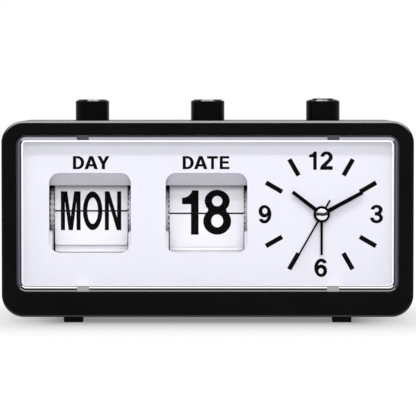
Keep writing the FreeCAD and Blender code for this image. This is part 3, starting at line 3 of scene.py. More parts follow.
import bmesh
import bpy
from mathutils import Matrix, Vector


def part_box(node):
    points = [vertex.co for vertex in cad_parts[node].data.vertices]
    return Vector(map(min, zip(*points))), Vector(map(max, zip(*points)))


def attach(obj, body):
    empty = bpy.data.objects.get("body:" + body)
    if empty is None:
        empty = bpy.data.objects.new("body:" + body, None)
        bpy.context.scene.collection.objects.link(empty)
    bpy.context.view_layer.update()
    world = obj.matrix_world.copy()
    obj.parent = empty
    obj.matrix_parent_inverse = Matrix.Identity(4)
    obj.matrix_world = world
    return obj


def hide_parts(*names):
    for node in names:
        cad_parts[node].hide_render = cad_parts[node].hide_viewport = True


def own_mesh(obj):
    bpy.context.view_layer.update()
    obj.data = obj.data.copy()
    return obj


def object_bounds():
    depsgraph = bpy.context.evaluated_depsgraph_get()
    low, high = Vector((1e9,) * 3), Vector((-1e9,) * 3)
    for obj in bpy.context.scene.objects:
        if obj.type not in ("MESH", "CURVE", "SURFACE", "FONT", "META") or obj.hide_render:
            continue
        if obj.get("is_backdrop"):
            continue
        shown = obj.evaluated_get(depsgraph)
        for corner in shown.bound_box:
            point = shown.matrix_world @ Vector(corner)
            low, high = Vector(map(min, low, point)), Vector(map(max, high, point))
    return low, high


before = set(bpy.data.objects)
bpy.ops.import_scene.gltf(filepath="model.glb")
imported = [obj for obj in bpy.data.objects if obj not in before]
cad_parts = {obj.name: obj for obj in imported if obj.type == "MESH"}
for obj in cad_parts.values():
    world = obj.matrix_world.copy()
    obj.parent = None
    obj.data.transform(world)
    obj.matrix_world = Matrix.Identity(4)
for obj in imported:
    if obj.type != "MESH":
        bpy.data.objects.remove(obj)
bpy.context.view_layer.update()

# ---- Housing ----
# One moulding in black ABS with a satin spark-eroded skin. It is an open-backed box with a
# front ring that the lens snaps into. Its rounded outer edges carry small painted highlights.

MM = 0.001
MICRON = 0.001 * MM


def bare_material(name):
    """A new material with nothing in it but the socket that takes its surface."""
    material = bpy.data.materials.new(name)
    material.use_nodes = True
    tree = material.node_tree
    tree.nodes.clear()
    return material, tree, tree.nodes.new("ShaderNodeOutputMaterial").inputs["Surface"]


def speckle(tree, scale, detail=3.0):
    """Noise that is fixed to the piece. The scale is in cells per metre."""
    place = tree.nodes.new("ShaderNodeTexCoord")
    noise = tree.nodes.new("ShaderNodeTexNoise")
    noise.inputs["Scale"].default_value = scale
    noise.inputs["Detail"].default_value = detail
    tree.links.new(place.outputs["Object"], noise.inputs["Vector"])
    return noise.outputs["Fac"]


def spot_on(tree, source="Object"):
    """Where a point is on the piece, as X, Y and Z, or with "Normal" which way it faces."""
    place = tree.nodes.new("ShaderNodeTexCoord")
    parts = tree.nodes.new("ShaderNodeSeparateXYZ")
    tree.links.new(place.outputs[source], parts.inputs["Vector"])
    return parts.outputs


def reckon(tree, operation, *terms):
    """One step of arithmetic. A term is a number or what another step gives."""
    node = tree.nodes.new("ShaderNodeMath")
    node.operation = operation
    for socket, term in zip(node.inputs, terms):
        if isinstance(term, (int, float)):
            socket.default_value = term
        else:
            tree.links.new(term, socket)
    return node.outputs["Value"]


def spread_between(tree, source, low, high, start=0.3, end=0.7):
    """Low where the source is at its start, high at its end, and evenly between."""
    span = tree.nodes.new("ShaderNodeMapRange")
    span.inputs["From Min"].default_value = start
    span.inputs["From Max"].default_value = end
    span.inputs["To Min"].default_value = low
    span.inputs["To Max"].default_value = high
    tree.links.new(source, span.inputs["Value"])
    return span.outputs["Result"]


def shade_mix(tree, factor, first, second):
    """The first colour where the factor is zero, and the second where it is one."""
    mix = tree.nodes.new("ShaderNodeMix")
    mix.data_type = "RGBA"
    tree.links.new(factor, mix.inputs["Factor"])
    for socket, shade in (("A", first), ("B", second)):
        if isinstance(shade, tuple):
            mix.inputs[socket].default_value = (*shade, 1.0)
        else:
            tree.links.new(shade, mix.inputs[socket])
    return mix.outputs["Result"]


def tint_between(tree, source, dark, light):
    """Turns noise into a colour between two near shades."""
    return shade_mix(tree, spread_between(tree, source, 0.0, 1.0), dark, light)


def stripes(tree, source, steps, blend="EASE"):
    """Bands of colour side by side, each with the place where it is full."""
    ramp = tree.nodes.new("ShaderNodeValToRGB")
    ramp.color_ramp.interpolation = blend
    while len(ramp.color_ramp.elements) < len(steps):
        ramp.color_ramp.elements.new(1.0)
    for element, (position, shade) in zip(ramp.color_ramp.elements, steps):
        element.position = position
        element.color = (*shade, 1.0)
    tree.links.new(source, ramp.inputs["Fac"])
    return ramp.outputs["Color"]


def paint_over(material, factor, shade):
    """Lays another colour over a moulded finish where the factor is one."""
    tree = material.node_tree
    shader = next(node for node in tree.nodes if node.type == "BSDF_PRINCIPLED")
    colour = shader.inputs["Base Color"]
    tree.links.new(shade_mix(tree, factor, colour.links[0].from_socket, shade), colour)


SHADE_PATCHES, GLOSS_PATCHES = 38.0, 160.0  # cells per metre


def moulded(name, dark, light, rough, skin=3200.0, skin_height=4.0, metal=0.0, gloss=0.5):
    """A moulded or plated finish: a fine skin, slow changes of shade and slow changes of gloss.

    The skin is in cells per metre and its height in microns. Rough is the least and the most."""
    material, tree, surface = bare_material(name)
    shader = tree.nodes.new("ShaderNodeBsdfPrincipled")
    tree.links.new(shader.outputs["BSDF"], surface)
    shader.inputs["Metallic"].default_value = metal
    shader.inputs["Specular IOR Level"].default_value = gloss
    shades = tint_between(tree, speckle(tree, SHADE_PATCHES, detail=2.0), dark, light)
    tree.links.new(shades, shader.inputs["Base Color"])
    dullness = spread_between(tree, speckle(tree, GLOSS_PATCHES), *rough)
    tree.links.new(dullness, shader.inputs["Roughness"])
    grain = tree.nodes.new("ShaderNodeBump")
    grain.inputs["Strength"].default_value = 1.0
    grain.inputs["Distance"].default_value = skin_height * MICRON
    tree.links.new(speckle(tree, skin), grain.inputs["Height"])
    tree.links.new(grain.outputs["Normal"], shader.inputs["Normal"])
    return material


def finish(material, *nodes):
    """Gives CAD nodes one material in every slot."""
    for node in nodes:
        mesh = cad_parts[node].data
        mesh.materials.clear()
        mesh.materials.append(material)


def paint_edge_highlights(material, foot_shade, side_shade, roof_shade):
    """Paints highlights on the bevelled outer edges of a moulding's front, brightest along its
    top.
    """
    tree = material.node_tree
    spot, facing = spot_on(tree), spot_on(tree, "Normal")
    bevelled = reckon(tree, "COMPARE", facing["Y"], -math.sqrt(0.5), BEVEL_LEAN)
    low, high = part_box("lens")
    sideways = reckon(tree, "ABSOLUTE", spot["X"])
    beside = reckon(tree, "GREATER_THAN", sideways, high[0] + EDGE_MARGIN)
    below = reckon(tree, "LESS_THAN", spot["Z"], low[2] - EDGE_MARGIN)
    above = reckon(tree, "GREATER_THAN", spot["Z"], high[2] + EDGE_MARGIN)
    outer = reckon(tree, "MAXIMUM", reckon(tree, "MAXIMUM", below, above), beside)
    upwards = spread_between(tree, facing["Z"], 0.0, 1.0, -1.0, 1.0)
    shades = (foot_shade, side_shade, side_shade, roof_shade)
    line = stripes(tree, upwards, list(zip(EDGE_TURNS, shades)), "LINEAR")
    paint_over(material, reckon(tree, "MULTIPLY", bevelled, outer), line)


BEVEL_LEAN = 0.15  # how far a facing may be from that of a 45 degree bevel
EDGE_MARGIN = 3.0 * MM
EDGE_TURNS = (0.22, 0.38, 0.66, 0.82)  # from facing down to facing up
housing_black = moulded(
    "housing_black", (0.0015, 0.0015, 0.0017), (0.0025, 0.0025, 0.0027), (0.33, 0.37),
    gloss=0.045,
)
# Painted highlights: bright along the top edge, faint along the bottom, almost none at the sides.
paint_edge_highlights(housing_black, (0.060, 0.060, 0.061), (0.003, 0.003, 0.003), (0.28, 0.28, 0.284))
finish(housing_black, "case_shell")

# ---- Feet ----
# Four moulded blocks of black rubber, pushed up against the underside of the housing. Their
# faces are dull and a little dusty, and their edges are slightly round.


def soften(width, *nodes):
    """Rounds the sharp edges of CAD nodes by a small moulded radius."""
    for node in nodes:
        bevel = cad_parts[node].modifiers.new("moulded edge", "BEVEL")
        bevel.width = width
        bevel.segments = ROUND_STEPS
        bevel.limit_method = "ANGLE"
        bevel.angle_limit = math.radians(SHARP_EDGE)
        bevel.harden_normals = True


SHARP_EDGE, ROUND_STEPS = 28, 3  # degrees between two faces, and faces in the round
foot_rubber = moulded(
    "foot_rubber", (0.003, 0.003, 0.003), (0.006, 0.006, 0.006), (0.62, 0.78),
    skin=1400.0, skin_height=15.0, gloss=0.05,
)
finish(foot_rubber, "feet")
soften(0.4 * MM, "feet")

# ---- Dial plate and its print ----
# A white styrene moulding with two windows, their hoods and side guards. The hour marks,
# the numerals and the two words over the windows are screen-printed on it in black ink.

DIAL_FACE = -26.0 * MM
HOOD_START, HOOD_DEPTH = -25.8 * MM, 2.5 * MM
HOOD_SHADE = 0.92  # share of the dial's colour left by the painted shade where the hoods and guards end
dial_white = moulded(
    "dial_white", (0.725, 0.725, 0.778), (0.742, 0.742, 0.795), (0.42, 0.50),
    skin=2600.0, skin_height=2.0,
)
dial_tree = dial_white.node_tree
# The hoods and guards, set back behind the face, get painted shade that deepens inwards.
behind = spot_on(dial_tree)["Y"]
painted_hood_shade = spread_between(
    dial_tree, behind, 0.0, 1.0 - HOOD_SHADE, HOOD_START, HOOD_START + HOOD_DEPTH
)
paint_over(dial_white, painted_hood_shade, (0.0, 0.0, 0.0))
finish(dial_white, "dial_plate")

INK_HEIGHT = 0.03 * MM
printing_ink = moulded(
    "printing_ink", (0.0022, 0.0022, 0.0022), (0.0034, 0.0034, 0.0034), (0.42, 0.55),
    skin=5200.0, skin_height=1.0, gloss=0.02,
)


def add_piece(name, shape, material, body):
    """Puts a bmesh into the scene as a piece that rides on a body."""
    mesh = bpy.data.meshes.new(name)
    bmesh.ops.recalc_face_normals(shape, faces=shape.faces)
    shape.to_mesh(mesh)
    shape.free()
    mesh.materials.append(material)
    piece = bpy.data.objects.new(name, mesh)
    bpy.context.scene.collection.objects.link(piece)
    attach(piece, body)
    return piece


def bend(centre, reach, start, end, steps=14):
    """Points along part of an ellipse, by its angles in degrees."""
    points = []
    for step in range(steps + 1):
        angle = math.radians(start + (end - start) * step / steps)
        across, up = centre[0] + reach[0] * math.cos(angle), centre[1] + reach[1] * math.sin(angle)
        points.append((across, up))
    return points


# Outlines in shares of a letter's width and height. The ones after the first are its holes.
EIGHT_TOP, EIGHT_TOP_REACH = (0.5, 0.748), (0.45, 0.252)
EIGHT_LOW, EIGHT_LOW_REACH = (0.5, 0.299), (0.5, 0.299)
LETTER_JOIN = 1e-5  # points nearer than this are one
LETTERS = {
    "M": [[(0, 0), (0, 1), (0.325, 1), (0.5, 0.35), (0.675, 1), (1, 1), (1, 0), (0.79, 0),
           (0.79, 0.735), (0.61, 0), (0.39, 0), (0.21, 0.735), (0.21, 0)]],
    "O": [bend((0.5, 0.5), (0.5, 0.5), 0, 350, 35), bend((0.5, 0.5), (0.275, 0.338), 0, 350, 35)],
    "N": [[(0, 0), (0, 1), (0.28, 1), (0.75, 0.32), (0.75, 1), (1, 1), (1, 0), (0.73, 0),
           (0.25, 0.69), (0.25, 0)]],
    "D": [[(0, 0), (0, 1)] + bend((0.44, 0.5), (0.56, 0.5), 90, -90),
          [(0.285, 0.18), (0.285, 0.82)] + bend((0.42, 0.5), (0.28, 0.32), 90, -90)],
    "A": [[(0, 0), (0.36, 1), (0.64, 1), (1, 0), (0.73, 0), (0.665, 0.21), (0.335, 0.21),
           (0.27, 0)],
          [(0.395, 0.39), (0.5, 0.72), (0.605, 0.39)]],
    "Y": [[(0, 1), (0.30, 1), (0.5, 0.64), (0.70, 1), (1, 1), (0.635, 0.4), (0.635, 0), (0.365, 0),
           (0.365, 0.4)]],
    "T": [[(0, 1), (1, 1), (1, 0.81), (0.635, 0.81), (0.635, 0), (0.365, 0), (0.365, 0.81),
           (0, 0.81)]],
    "E": [[(0, 0), (0, 1), (0.98, 1), (0.98, 0.82), (0.31, 0.82), (0.31, 0.61), (0.91, 0.61),
           (0.91, 0.43), (0.31, 0.43), (0.31, 0.18), (1, 0.18), (1, 0)]],
    "U": [[(0, 1), (0, 0.32)] + bend((0.5, 0.32), (0.5, 0.32), 180, 360) + [(1, 1), (0.77, 1)]
          + bend((0.5, 0.33), (0.27, 0.18), 0, -180) + [(0.23, 1)]],
    "1": [[(0.54, 0), (1, 0), (1, 1), (0.65, 1)] + bend((0.0, 1.06), (0.64, 0.229), -12, -90, 8)
          + [(0, 0.686), (0.54, 0.686)]],
    "2": [bend((0.51, 0.69), (0.48, 0.31), 176, -34, 20)
          + [(0.48, 0.205), (0.99, 0.205), (0.99, 0), (0, 0), (0.02, 0.13), (0.10, 0.235),
             (0.56, 0.54)]
          + bend((0.5, 0.69), (0.185, 0.135), -22, 174, 14)],
    "3": [bend((0.5, 0.73), (0.47, 0.27), 176, -38, 22)
          + bend((0.5, 0.285), (0.5, 0.285), 48, -187, 26)
          + bend((0.5, 0.29), (0.205, 0.125), 172, 450, 24) + [(0.36, 0.415), (0.36, 0.60)]
          + bend((0.49, 0.722), (0.175, 0.115), -90, 172, 20)],
    "8": [bend(EIGHT_TOP, EIGHT_TOP_REACH, -44, 224, 30)
          + bend(EIGHT_LOW, EIGHT_LOW_REACH, 133, 407, 34),
          bend(EIGHT_TOP, (0.184, 0.115), 0, 345, 23),
          bend((0.5, 0.308), (0.212, 0.144), 0, 345, 23)],
    "9": [bend((0.46, 0.5), (0.54, 0.5), 90, -90, 26)
          + bend((0.46, 0.25), (0.43, 0.25), -90, -176, 9)
          + bend((0.46, 0.27), (0.14, 0.09), 178, 270, 8)
          + bend((0.46, 0.43), (0.24, 0.25), -90, -8, 9)
          + bend((0.45, 0.66), (0.45, 0.34), -50, -262, 22),
          bend((0.485, 0.672), (0.192, 0.155), 0, 345, 23)],
}
LETTERS["6"] = [[(1 - across, 1 - up) for across, up in outline] for outline in LETTERS["9"]]


def letter_faces(letter):
    """One letter as flat faces, from 0 to 1 across and 0 to 1 up."""
    curve = bpy.data.curves.new("letter", "CURVE")
    curve.dimensions = "2D"
    curve.fill_mode = "BOTH"
    for outline in LETTERS[letter]:
        spline = curve.splines.new("POLY")
        spline.points.add(len(outline) - 1)
        for point, (across, up) in zip(spline.points, outline):
            point.co = (across, up, 0, 1)
        spline.use_cyclic_u = True
    drawn = bpy.data.objects.new("letter", curve)
    bpy.context.scene.collection.objects.link(drawn)
    filled = drawn.evaluated_get(bpy.context.evaluated_depsgraph_get())
    mesh = bpy.data.meshes.new_from_object(filled)
    flat = bmesh.new()
    flat.from_mesh(mesh)
    bmesh.ops.remove_doubles(flat, verts=flat.verts, dist=LETTER_JOIN)
    bpy.data.objects.remove(drawn)
    bpy.data.curves.remove(curve)
    bpy.data.meshes.remove(mesh)
    across, up = [vert.co.x for vert in flat.verts], [vert.co.y for vert in flat.verts]
    low_x, high_x, low_y, high_y = min(across), max(across), min(up), max(up)
    for vert in flat.verts:
        vert.co.x = (vert.co.x - low_x) / (high_x - low_x)
        vert.co.y = (vert.co.y - low_y) / (high_y - low_y)
    return flat


def thicken(flat, face_y, side=-1, height=INK_HEIGHT):
    """Stands a flat shape on a face that looks along -Y, or along +Y where side is 1."""
    for vert in flat.verts:
        vert.co.y = face_y
    made = bmesh.ops.extrude_face_region(flat, geom=list(flat.faces))
    for vert in [item for item in made["geom"] if isinstance(item, bmesh.types.BMVert)]:
        vert.co.y = face_y + side * height
    return flat


def lettering(letters, low, high, face_y):
    """Printed letters. Each has its left and right edge, and all stand between two heights."""
    flat = bmesh.new()
    for letter, left, right in letters:
        drawn = letter_faces(letter)
        for vert in drawn.verts:
            across, up = vert.co.x, vert.co.y
            vert.co = Vector((left + across * (right - left), face_y, low + up * (high - low)))
        holder = bpy.data.meshes.new("letter")
        drawn.to_mesh(holder)
        drawn.free()
        flat.from_mesh(holder)
        bpy.data.meshes.remove(holder)
    return flat


def print_on_dial(name, flat):
    """Puts flat shapes on the dial's face as a film of ink."""
    add_piece(name, thicken(flat, DIAL_FACE), printing_ink, "base")


CLOCK_X, CLOCK_Z = 58.4 * MM, 55.2 * MM
MARK_INNER, MARK_OUTER, MARK_WIDTH = 23.0 * MM, 32.6 * MM, 2.4 * MM
MARKS_CENTRE = Vector((CLOCK_X - 0.3 * MM, DIAL_FACE, CLOCK_Z - 0.15 * MM))
MARKED_HOURS = (1, 2, 4, 5, 7, 8, 10, 11)

marks = bmesh.new()
for hour in MARKED_HOURS:
    turn = math.radians(30 * hour)
    out = Vector((math.sin(turn), 0, math.cos(turn)))
    side = Vector((math.cos(turn), 0, -math.sin(turn))) * MARK_WIDTH / 2
    inner, outer = MARKS_CENTRE + out * MARK_INNER, MARKS_CENTRE + out * MARK_OUTER
    corners = (inner - side, inner + side, outer + side, outer - side)
    marks.faces.new([marks.verts.new(corner) for corner in corners])
print_on_dial("hour_marks", marks)

# Each figure's left and right edge from the numeral's middle, and that middle from the
# clock's, across and up, in millimetres.
NUMERAL_HEIGHT = 9.5 * MM
NUMERALS = {
    "numeral_twelve": ([("1", -6.0, -2.1), ("2", -0.4, 6.1)], -0.45, 27.4),
    "numeral_three": ([("3", -3.3, 3.3)], 28.2, 0.0),
    "numeral_six": ([("6", -3.3, 3.3)], -0.4, -27.6),
    "numeral_nine": ([("9", -3.3, 3.3)], -29.0, -0.1),
}
for name, (figures, across, up) in NUMERALS.items():
    spread = [
        (figure, CLOCK_X + (left + across) * MM, CLOCK_X + (right + across) * MM)
        for figure, left, right in figures
    ]
    low = CLOCK_Z + up * MM - NUMERAL_HEIGHT / 2
    print_on_dial(name, lettering(spread, low, low + NUMERAL_HEIGHT, DIAL_FACE))

# Each letter's left and right edge, in millimetres.
WORD_LOW, WORD_HIGH = 78.2 * MM, 84.9 * MM
WORDS = {
    "word_day": [("D", -69.0, -63.2), ("A", -63.1, -56.2), ("Y", -56.6, -50.2)],
    "word_date": [("D", -12.8, -7.1), ("A", -7.0, -0.1), ("T", -0.3, 5.3), ("E", 6.2, 11.2)],
}
for name, word in WORDS.items():
    spread = [(letter, left * MM, right * MM) for letter, left, right in word]
    print_on_dial(name, lettering(spread, WORD_LOW, WORD_HIGH, DIAL_FACE))

# ---- Card modules ----
# Each is a black moulded frame around a white card wheel with a ratchet at its side.
# A push arm under the button turns the wheel by one tooth.

NOTCHES, NOTCH_SHARE, NOTCH_WIDTH = 26, 0.52, 0.42 * MM
DISC_WIDTH = 2.1 * MM
CARD_SIDE_GAP = 0.3 * MM
CARDS_WIDTH = {"day": 37.6 * MM, "date": 38.4 * MM}
WHEEL_AXIS = {"day": (-60.4 * MM, 56.1 * MM), "date": (-0.5 * MM, 54.8 * MM)}
frame_black = moulded("frame_black", (0.010, 0.010, 0.011), (0.014, 0.014, 0.015), (0.45, 0.55))
ratchet_grey = moulded("ratchet_grey", (0.22, 0.22, 0.23), (0.26, 0.26, 0.27), (0.4, 0.5))


def notched_wheel(name, axis_x, axis_z, disc_inner, disc_outer):
    """White discs with fine dark notches along both edges of their rim. The drum between them is
    painted black, as painted shade.
    """
    material = moulded(name, (0.60, 0.60, 0.62), (0.68, 0.68, 0.70), (0.24, 0.32))
    tree = material.node_tree
    spot = spot_on(tree)
    across = reckon(tree, "ABSOLUTE", reckon(tree, "SUBTRACT", spot["X"], axis_x))
    turn = reckon(tree, "ARCTAN2", reckon(tree, "SUBTRACT", spot["Z"], axis_z), spot["Y"])
    beat = reckon(tree, "FRACT", reckon(tree, "MULTIPLY", turn, NOTCHES / (2 * math.pi)))
    half = NOTCH_WIDTH / 2
    near_inner = reckon(tree, "COMPARE", across, disc_inner + half, half)
    near_outer = reckon(tree, "COMPARE", across, disc_outer - half, half)
    rims = reckon(tree, "MAXIMUM", near_inner, near_outer)
    cuts = reckon(tree, "MULTIPLY", reckon(tree, "GREATER_THAN", beat, NOTCH_SHARE), rims)
    # Painted shade: the drum seen between the discs is painted black. The notches are the rim's
    # own pattern.
    drum = reckon(tree, "LESS_THAN", across, disc_inner - NOTCH_WIDTH)
    paint_over(material, reckon(tree, "MAXIMUM", drum, cuts), (0.012, 0.012, 0.013))
    return material


for kind, axis in WHEEL_AXIS.items():
    finish(frame_black, f"{kind}_frame")
    inner = CARDS_WIDTH[kind] / 2 + CARD_SIDE_GAP
    finish(notched_wheel(f"{kind}_wheel_white", *axis, inner, inner + DISC_WIDTH), f"{kind}_wheel")
    finish(ratchet_grey, f"{kind}_ratchet", f"{kind}_push_arm")

# ---- Return springs ----
# One of round steel wire under each button, around its stem, with a closed turn at each end.
# It stands loose between the frame and the button. The real one shortens as the button goes down;
# this coil keeps its rest length.

WIRE_RADIUS, WIRE_CORNERS = 0.35 * MM, 6
SPRING_TURNS, TURN_STEPS = 6, 16
CLOSED_PITCH = 0.74 * MM
PRESSES = {"day": 3.0 * MM, "date": 3.0 * MM, "snooze": 1.5 * MM}
UPWARDS = Vector((0, 0, 1))
spring_steel = moulded(
    "spring_steel", (0.50, 0.50, 0.52), (0.60, 0.60, 0.61), (0.22, 0.32),
    skin=900.0, skin_height=1.0, metal=1.0,
)


def wound_spring(kind):
    """A coil with a closed turn at each end, in the place of the CAD spring."""
    low, high = (Vector(corner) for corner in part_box(f"{kind}_button_spring"))
    middle = (low + high) / 2
    around = (high.x - low.x) / 2 - WIRE_RADIUS
    open_pitch = (high.z - low.z - 2 * (WIRE_RADIUS + CLOSED_PITCH)) / (SPRING_TURNS - 2)
    coil = bmesh.new()
    rings = []
    for step in range(SPRING_TURNS * TURN_STEPS + 1):
        turn = step / TURN_STEPS
        opened = min(max(turn - 1, 0), SPRING_TURNS - 2)
        rise = low.z + WIRE_RADIUS + CLOSED_PITCH * (turn - opened) + open_pitch * opened
        out = Vector((math.cos(2 * math.pi * turn), math.sin(2 * math.pi * turn), 0))
        centre = Vector((middle.x, middle.y, rise)) + around * out
        angles = [2 * math.pi * corner / WIRE_CORNERS for corner in range(WIRE_CORNERS)]
        section = [out * math.cos(angle) + UPWARDS * math.sin(angle) for angle in angles]
        rings.append([coil.verts.new(centre + WIRE_RADIUS * point) for point in section])
    for ring, after in zip(rings, rings[1:]):
        for corner in range(WIRE_CORNERS):
            beside = (corner + 1) % WIRE_CORNERS
            coil.faces.new((ring[corner], after[corner], after[beside], ring[beside]))
    coil.faces.new(rings[0])
    coil.faces.new(rings[-1][::-1])
    piece = add_piece(f"{kind}_coil", coil, spring_steel, "base")
    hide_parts(f"{kind}_button_spring")
    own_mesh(piece)


for kind, press in PRESSES.items():
    wound_spring(kind)

# ---- Cards and their print ----
# Thin white plastic cards hinged on the wheel by their ears. The upper half of a word is
# printed on the front of one card and its lower half on the back of the card before it.

SPLIT_GAP = 0.375 * MM
SHADE_GAP = 1.1 * SPLIT_GAP


def card_plastic(name, dark, light, split):
    """White card plastic, with the shade in the hinge gap between the two halves of a word."""
    material = moulded(name, dark, light, (0.36, 0.44), skin=4200.0, skin_height=1.0)
    tree = material.node_tree
    gap = reckon(tree, "COMPARE", spot_on(tree)["Z"], split, SHADE_GAP)
    paint_over(material, gap, (0.010, 0.010, 0.010))
    return material


for kind, (_, split) in WHEEL_AXIS.items():
    plain_card = card_plastic(f"{kind}_card_white", (0.945, 0.94, 0.975), (0.96, 0.955, 0.985), split)
    # The hanging lower card gets a darker copy of the card white: painted shade that holds it back
    # where the lamps light it more than the cards under the hood.
    painted_shade_copy = card_plastic(f"{kind}_card_painted_shade_copy", (0.85, 0.85, 0.885), (0.87, 0.87, 0.905), split)
    finish(plain_card, *[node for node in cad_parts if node.startswith(f"{kind}_card")])
    finish(painted_shade_copy, f"{kind}_card_low")

# The words in view and the ones that follow, as each letter's left and right edge in
# millimetres, with the heights that a whole word stands between.
HINGE_CIRCLE = 9.28 * MM
PRINTS = {
    "day": {
        "cards": 14, "low": 46.05 * MM, "high": 66.25 * MM,
        "now": [("M", -76.2, -65.95), ("O", -64.75, -54.65), ("N", -53.4, -44.85)],
        "then": [("T", -75.0, -66.6), ("U", -64.9, -55.7), ("E", -53.4, -45.6)],
    },
    "date": {
        "cards": 31, "low": 43.7 * MM, "high": 67.05 * MM,
        "now": [("1", -13.3, -4.7), ("8", -2.3, 12.2)],
        "then": [("1", -13.2, -4.5), ("9", -1.8, 12.2)],
    },
}


def half_print(words, low, high, split, upper):
    """One half of a word, cut where the cards part."""
    spread = [(letter, left * MM, right * MM) for letter, left, right in words]
    flat = lettering(spread, low, high, 0.0)
    bmesh.ops.bisect_plane(
        flat,
        geom=list(flat.verts) + list(flat.edges) + list(flat.faces),
        plane_co=(0, 0, split + (SPLIT_GAP if upper else -SPLIT_GAP)),
        plane_no=(0, 0, 1),
        clear_inner=upper,
        clear_outer=not upper,
    )
    return flat


for kind, module in PRINTS.items():
    low, high, split = module["low"], module["high"], WHEEL_AXIS[kind][1]
    # The next card comes down by this lift, and the top card turns over, as the wheel steps.
    half_step = math.pi / module["cards"]
    lift = HINGE_CIRCLE * (math.sin(3 * half_step) - math.sin(half_step))
    upper_now = half_print(module["now"], low, high, split, True)
    lower_now = half_print(module["now"], low, high, split, False)
    upper_then = half_print(module["then"], low, high, split, True)
    lower_then = half_print(module["then"], low, high, split, False)
    for vert in upper_then.verts:
        vert.co.z += lift
    for vert in lower_then.verts:
        vert.co.z = 2 * split - vert.co.z
    fronts = {card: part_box(f"{kind}_card_{card}")[0][1] for card in ("top", "low", "next")}
    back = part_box(f"{kind}_card_top")[1][1]
    printed = [
        ("upper", upper_now, "top", fronts["top"], -1),
        ("lower", lower_now, "low", fronts["low"], -1),
        ("upper_after", upper_then, "next", fronts["next"], -1),
        ("lower_after", lower_then, "top", back, 1),
    ]
    for half, flat, card, face_y, side in printed:
        ink = thicken(flat, face_y, side)
        leaf = f"{kind}_card_{card}_leaf"
        add_piece(f"{kind}_print_{half}", ink, printing_ink, leaf)

# ---- Push buttons ----
# Black caps turned up from the collar that keeps them in the housing. A soft round runs
# around each top, and the snooze cap has a raised disc.

PUSH_BUTTONS = ("day_button", "date_button", "snooze_button")
button_black = moulded(
    "button_black", (0.0014, 0.0014, 0.0016), (0.0026, 0.0026, 0.0028), (0.17, 0.20),
    skin=2200.0, skin_height=1.0, gloss=0.03,
)
finish(button_black, *PUSH_BUTTONS)
soften(0.45 * MM, *PUSH_BUTTONS)

# ---- Snooze switch ----
# A small switch soldered on a green glass-fibre board inside the housing. Its white plunger
# stands under the snooze button, which pushes it down.

board_green = moulded(
    "board_green", (0.008, 0.07, 0.03), (0.012, 0.10, 0.045), (0.3, 0.4),
    skin=900.0, skin_height=6.0,
)
switch_white = moulded("switch_white", (0.62, 0.62, 0.60), (0.68, 0.68, 0.66), (0.4, 0.5))
finish(board_green, "snooze_board")
finish(frame_black, "snooze_switch")
finish(switch_white, "snooze_plunger")

# ---- Movement and hands ----
# A black quartz alarm movement behind the dial. Its pipes carry stamped hands in matt black
# paint, and a bright pressed cap covers the end of the second hand's arbor.

pipe_brass = moulded(
    "pipe_brass", (0.66, 0.46, 0.18), (0.74, 0.54, 0.24), (0.2, 0.3),
    skin=1500.0, skin_height=2.0, metal=1.0,
)
hand_black = moulded(
    "hand_black", (0.0006, 0.0006, 0.0006), (0.0012, 0.0012, 0.0012), (0.40, 0.50),
    skin=2400.0, skin_height=3.0, gloss=0.01,
)
finish(frame_black, "movement_housing")
finish(pipe_brass, "minute_pipe")
finish(ratchet_grey, "hour_pipe", "alarm_pipe")
finish(spring_steel, "second_arbor")
finish(hand_black, "hour_hand", "minute_hand")

HUB_ROUND, HUB_OVERLAP, TIP_SHARE = 40, 0.97, 0.88


def stamped_hand(name, clockwise, width, bore, hub, tail, length):
    """A thin hand stamped from sheet: a ring around its pipe and a bar that narrows to its tip."""
    low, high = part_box(name)
    turn = math.radians(clockwise)
    out = Vector((math.sin(turn), 0, math.cos(turn)))
    side = Vector((math.cos(turn), 0, -math.sin(turn)))
    centre = Vector((CLOCK_X, 0, CLOCK_Z))
    flat = bmesh.new()
    round_hub = [2 * math.pi * step / HUB_ROUND for step in range(HUB_ROUND)]
    ways = [out * math.cos(angle) + side * math.sin(angle) for angle in round_hub]
    within, around = (
        [flat.verts.new(centre + radius * way) for way in ways] for radius in (bore, hub)
    )
    for step in range(HUB_ROUND):
        after = (step + 1) % HUB_ROUND
        flat.faces.new((within[step], around[step], around[after], within[after]))
    edge = HUB_OVERLAP * hub
    for start, end, share in ((edge, length, TIP_SHARE), (-edge, tail, 1.0)):
        if end:
            root = side * width / 2
            tip = root * share
            corners = (out * start - root, out * start + root, out * end + tip, out * end - tip)
            flat.faces.new([flat.verts.new(centre + corner) for corner in corners])
    blade = thicken(flat, high[1], -1, high[1] - low[1])
    piece = add_piece(f"{name}_blade", blade, hand_black, f"{name}_unit")
    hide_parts(name)


stamped_hand("second_hand", 209.7, 0.95 * MM, 0.62 * MM, 2.2 * MM, -8.4 * MM, 29.0 * MM)
stamped_hand("alarm_hand", 180.0, 1.30 * MM, 3.02 * MM, 4.2 * MM, 0.0, 20.9 * MM)

CAP_CLOUDS, CAP_WAVE = 700.0, 1.6 * MM  # cells per metre, and how far they bend the painted reflection band
CAP_BAND_Z, CAP_BAND_HALF = CLOCK_Z + 1.0 * MM, 0.78 * MM
cap_chrome = moulded(
    "cap_chrome", (0.90, 0.90, 0.91), (0.95, 0.95, 0.96), (0.06, 0.10),
    skin=600.0, skin_height=1.0, metal=1.0,
)
# A dark wavy band across the bright cap is a painted reflection of dark surroundings.
cap_tree = cap_chrome.node_tree
clouds = speckle(cap_tree, CAP_CLOUDS, detail=1.0)
wavy = reckon(cap_tree, "MULTIPLY_ADD", clouds, CAP_WAVE, spot_on(cap_tree)["Z"])
cap_painted_reflection = reckon(cap_tree, "COMPARE", wavy, CAP_BAND_Z, CAP_BAND_HALF)
paint_over(cap_chrome, cap_painted_reflection, (0.045, 0.045, 0.048))

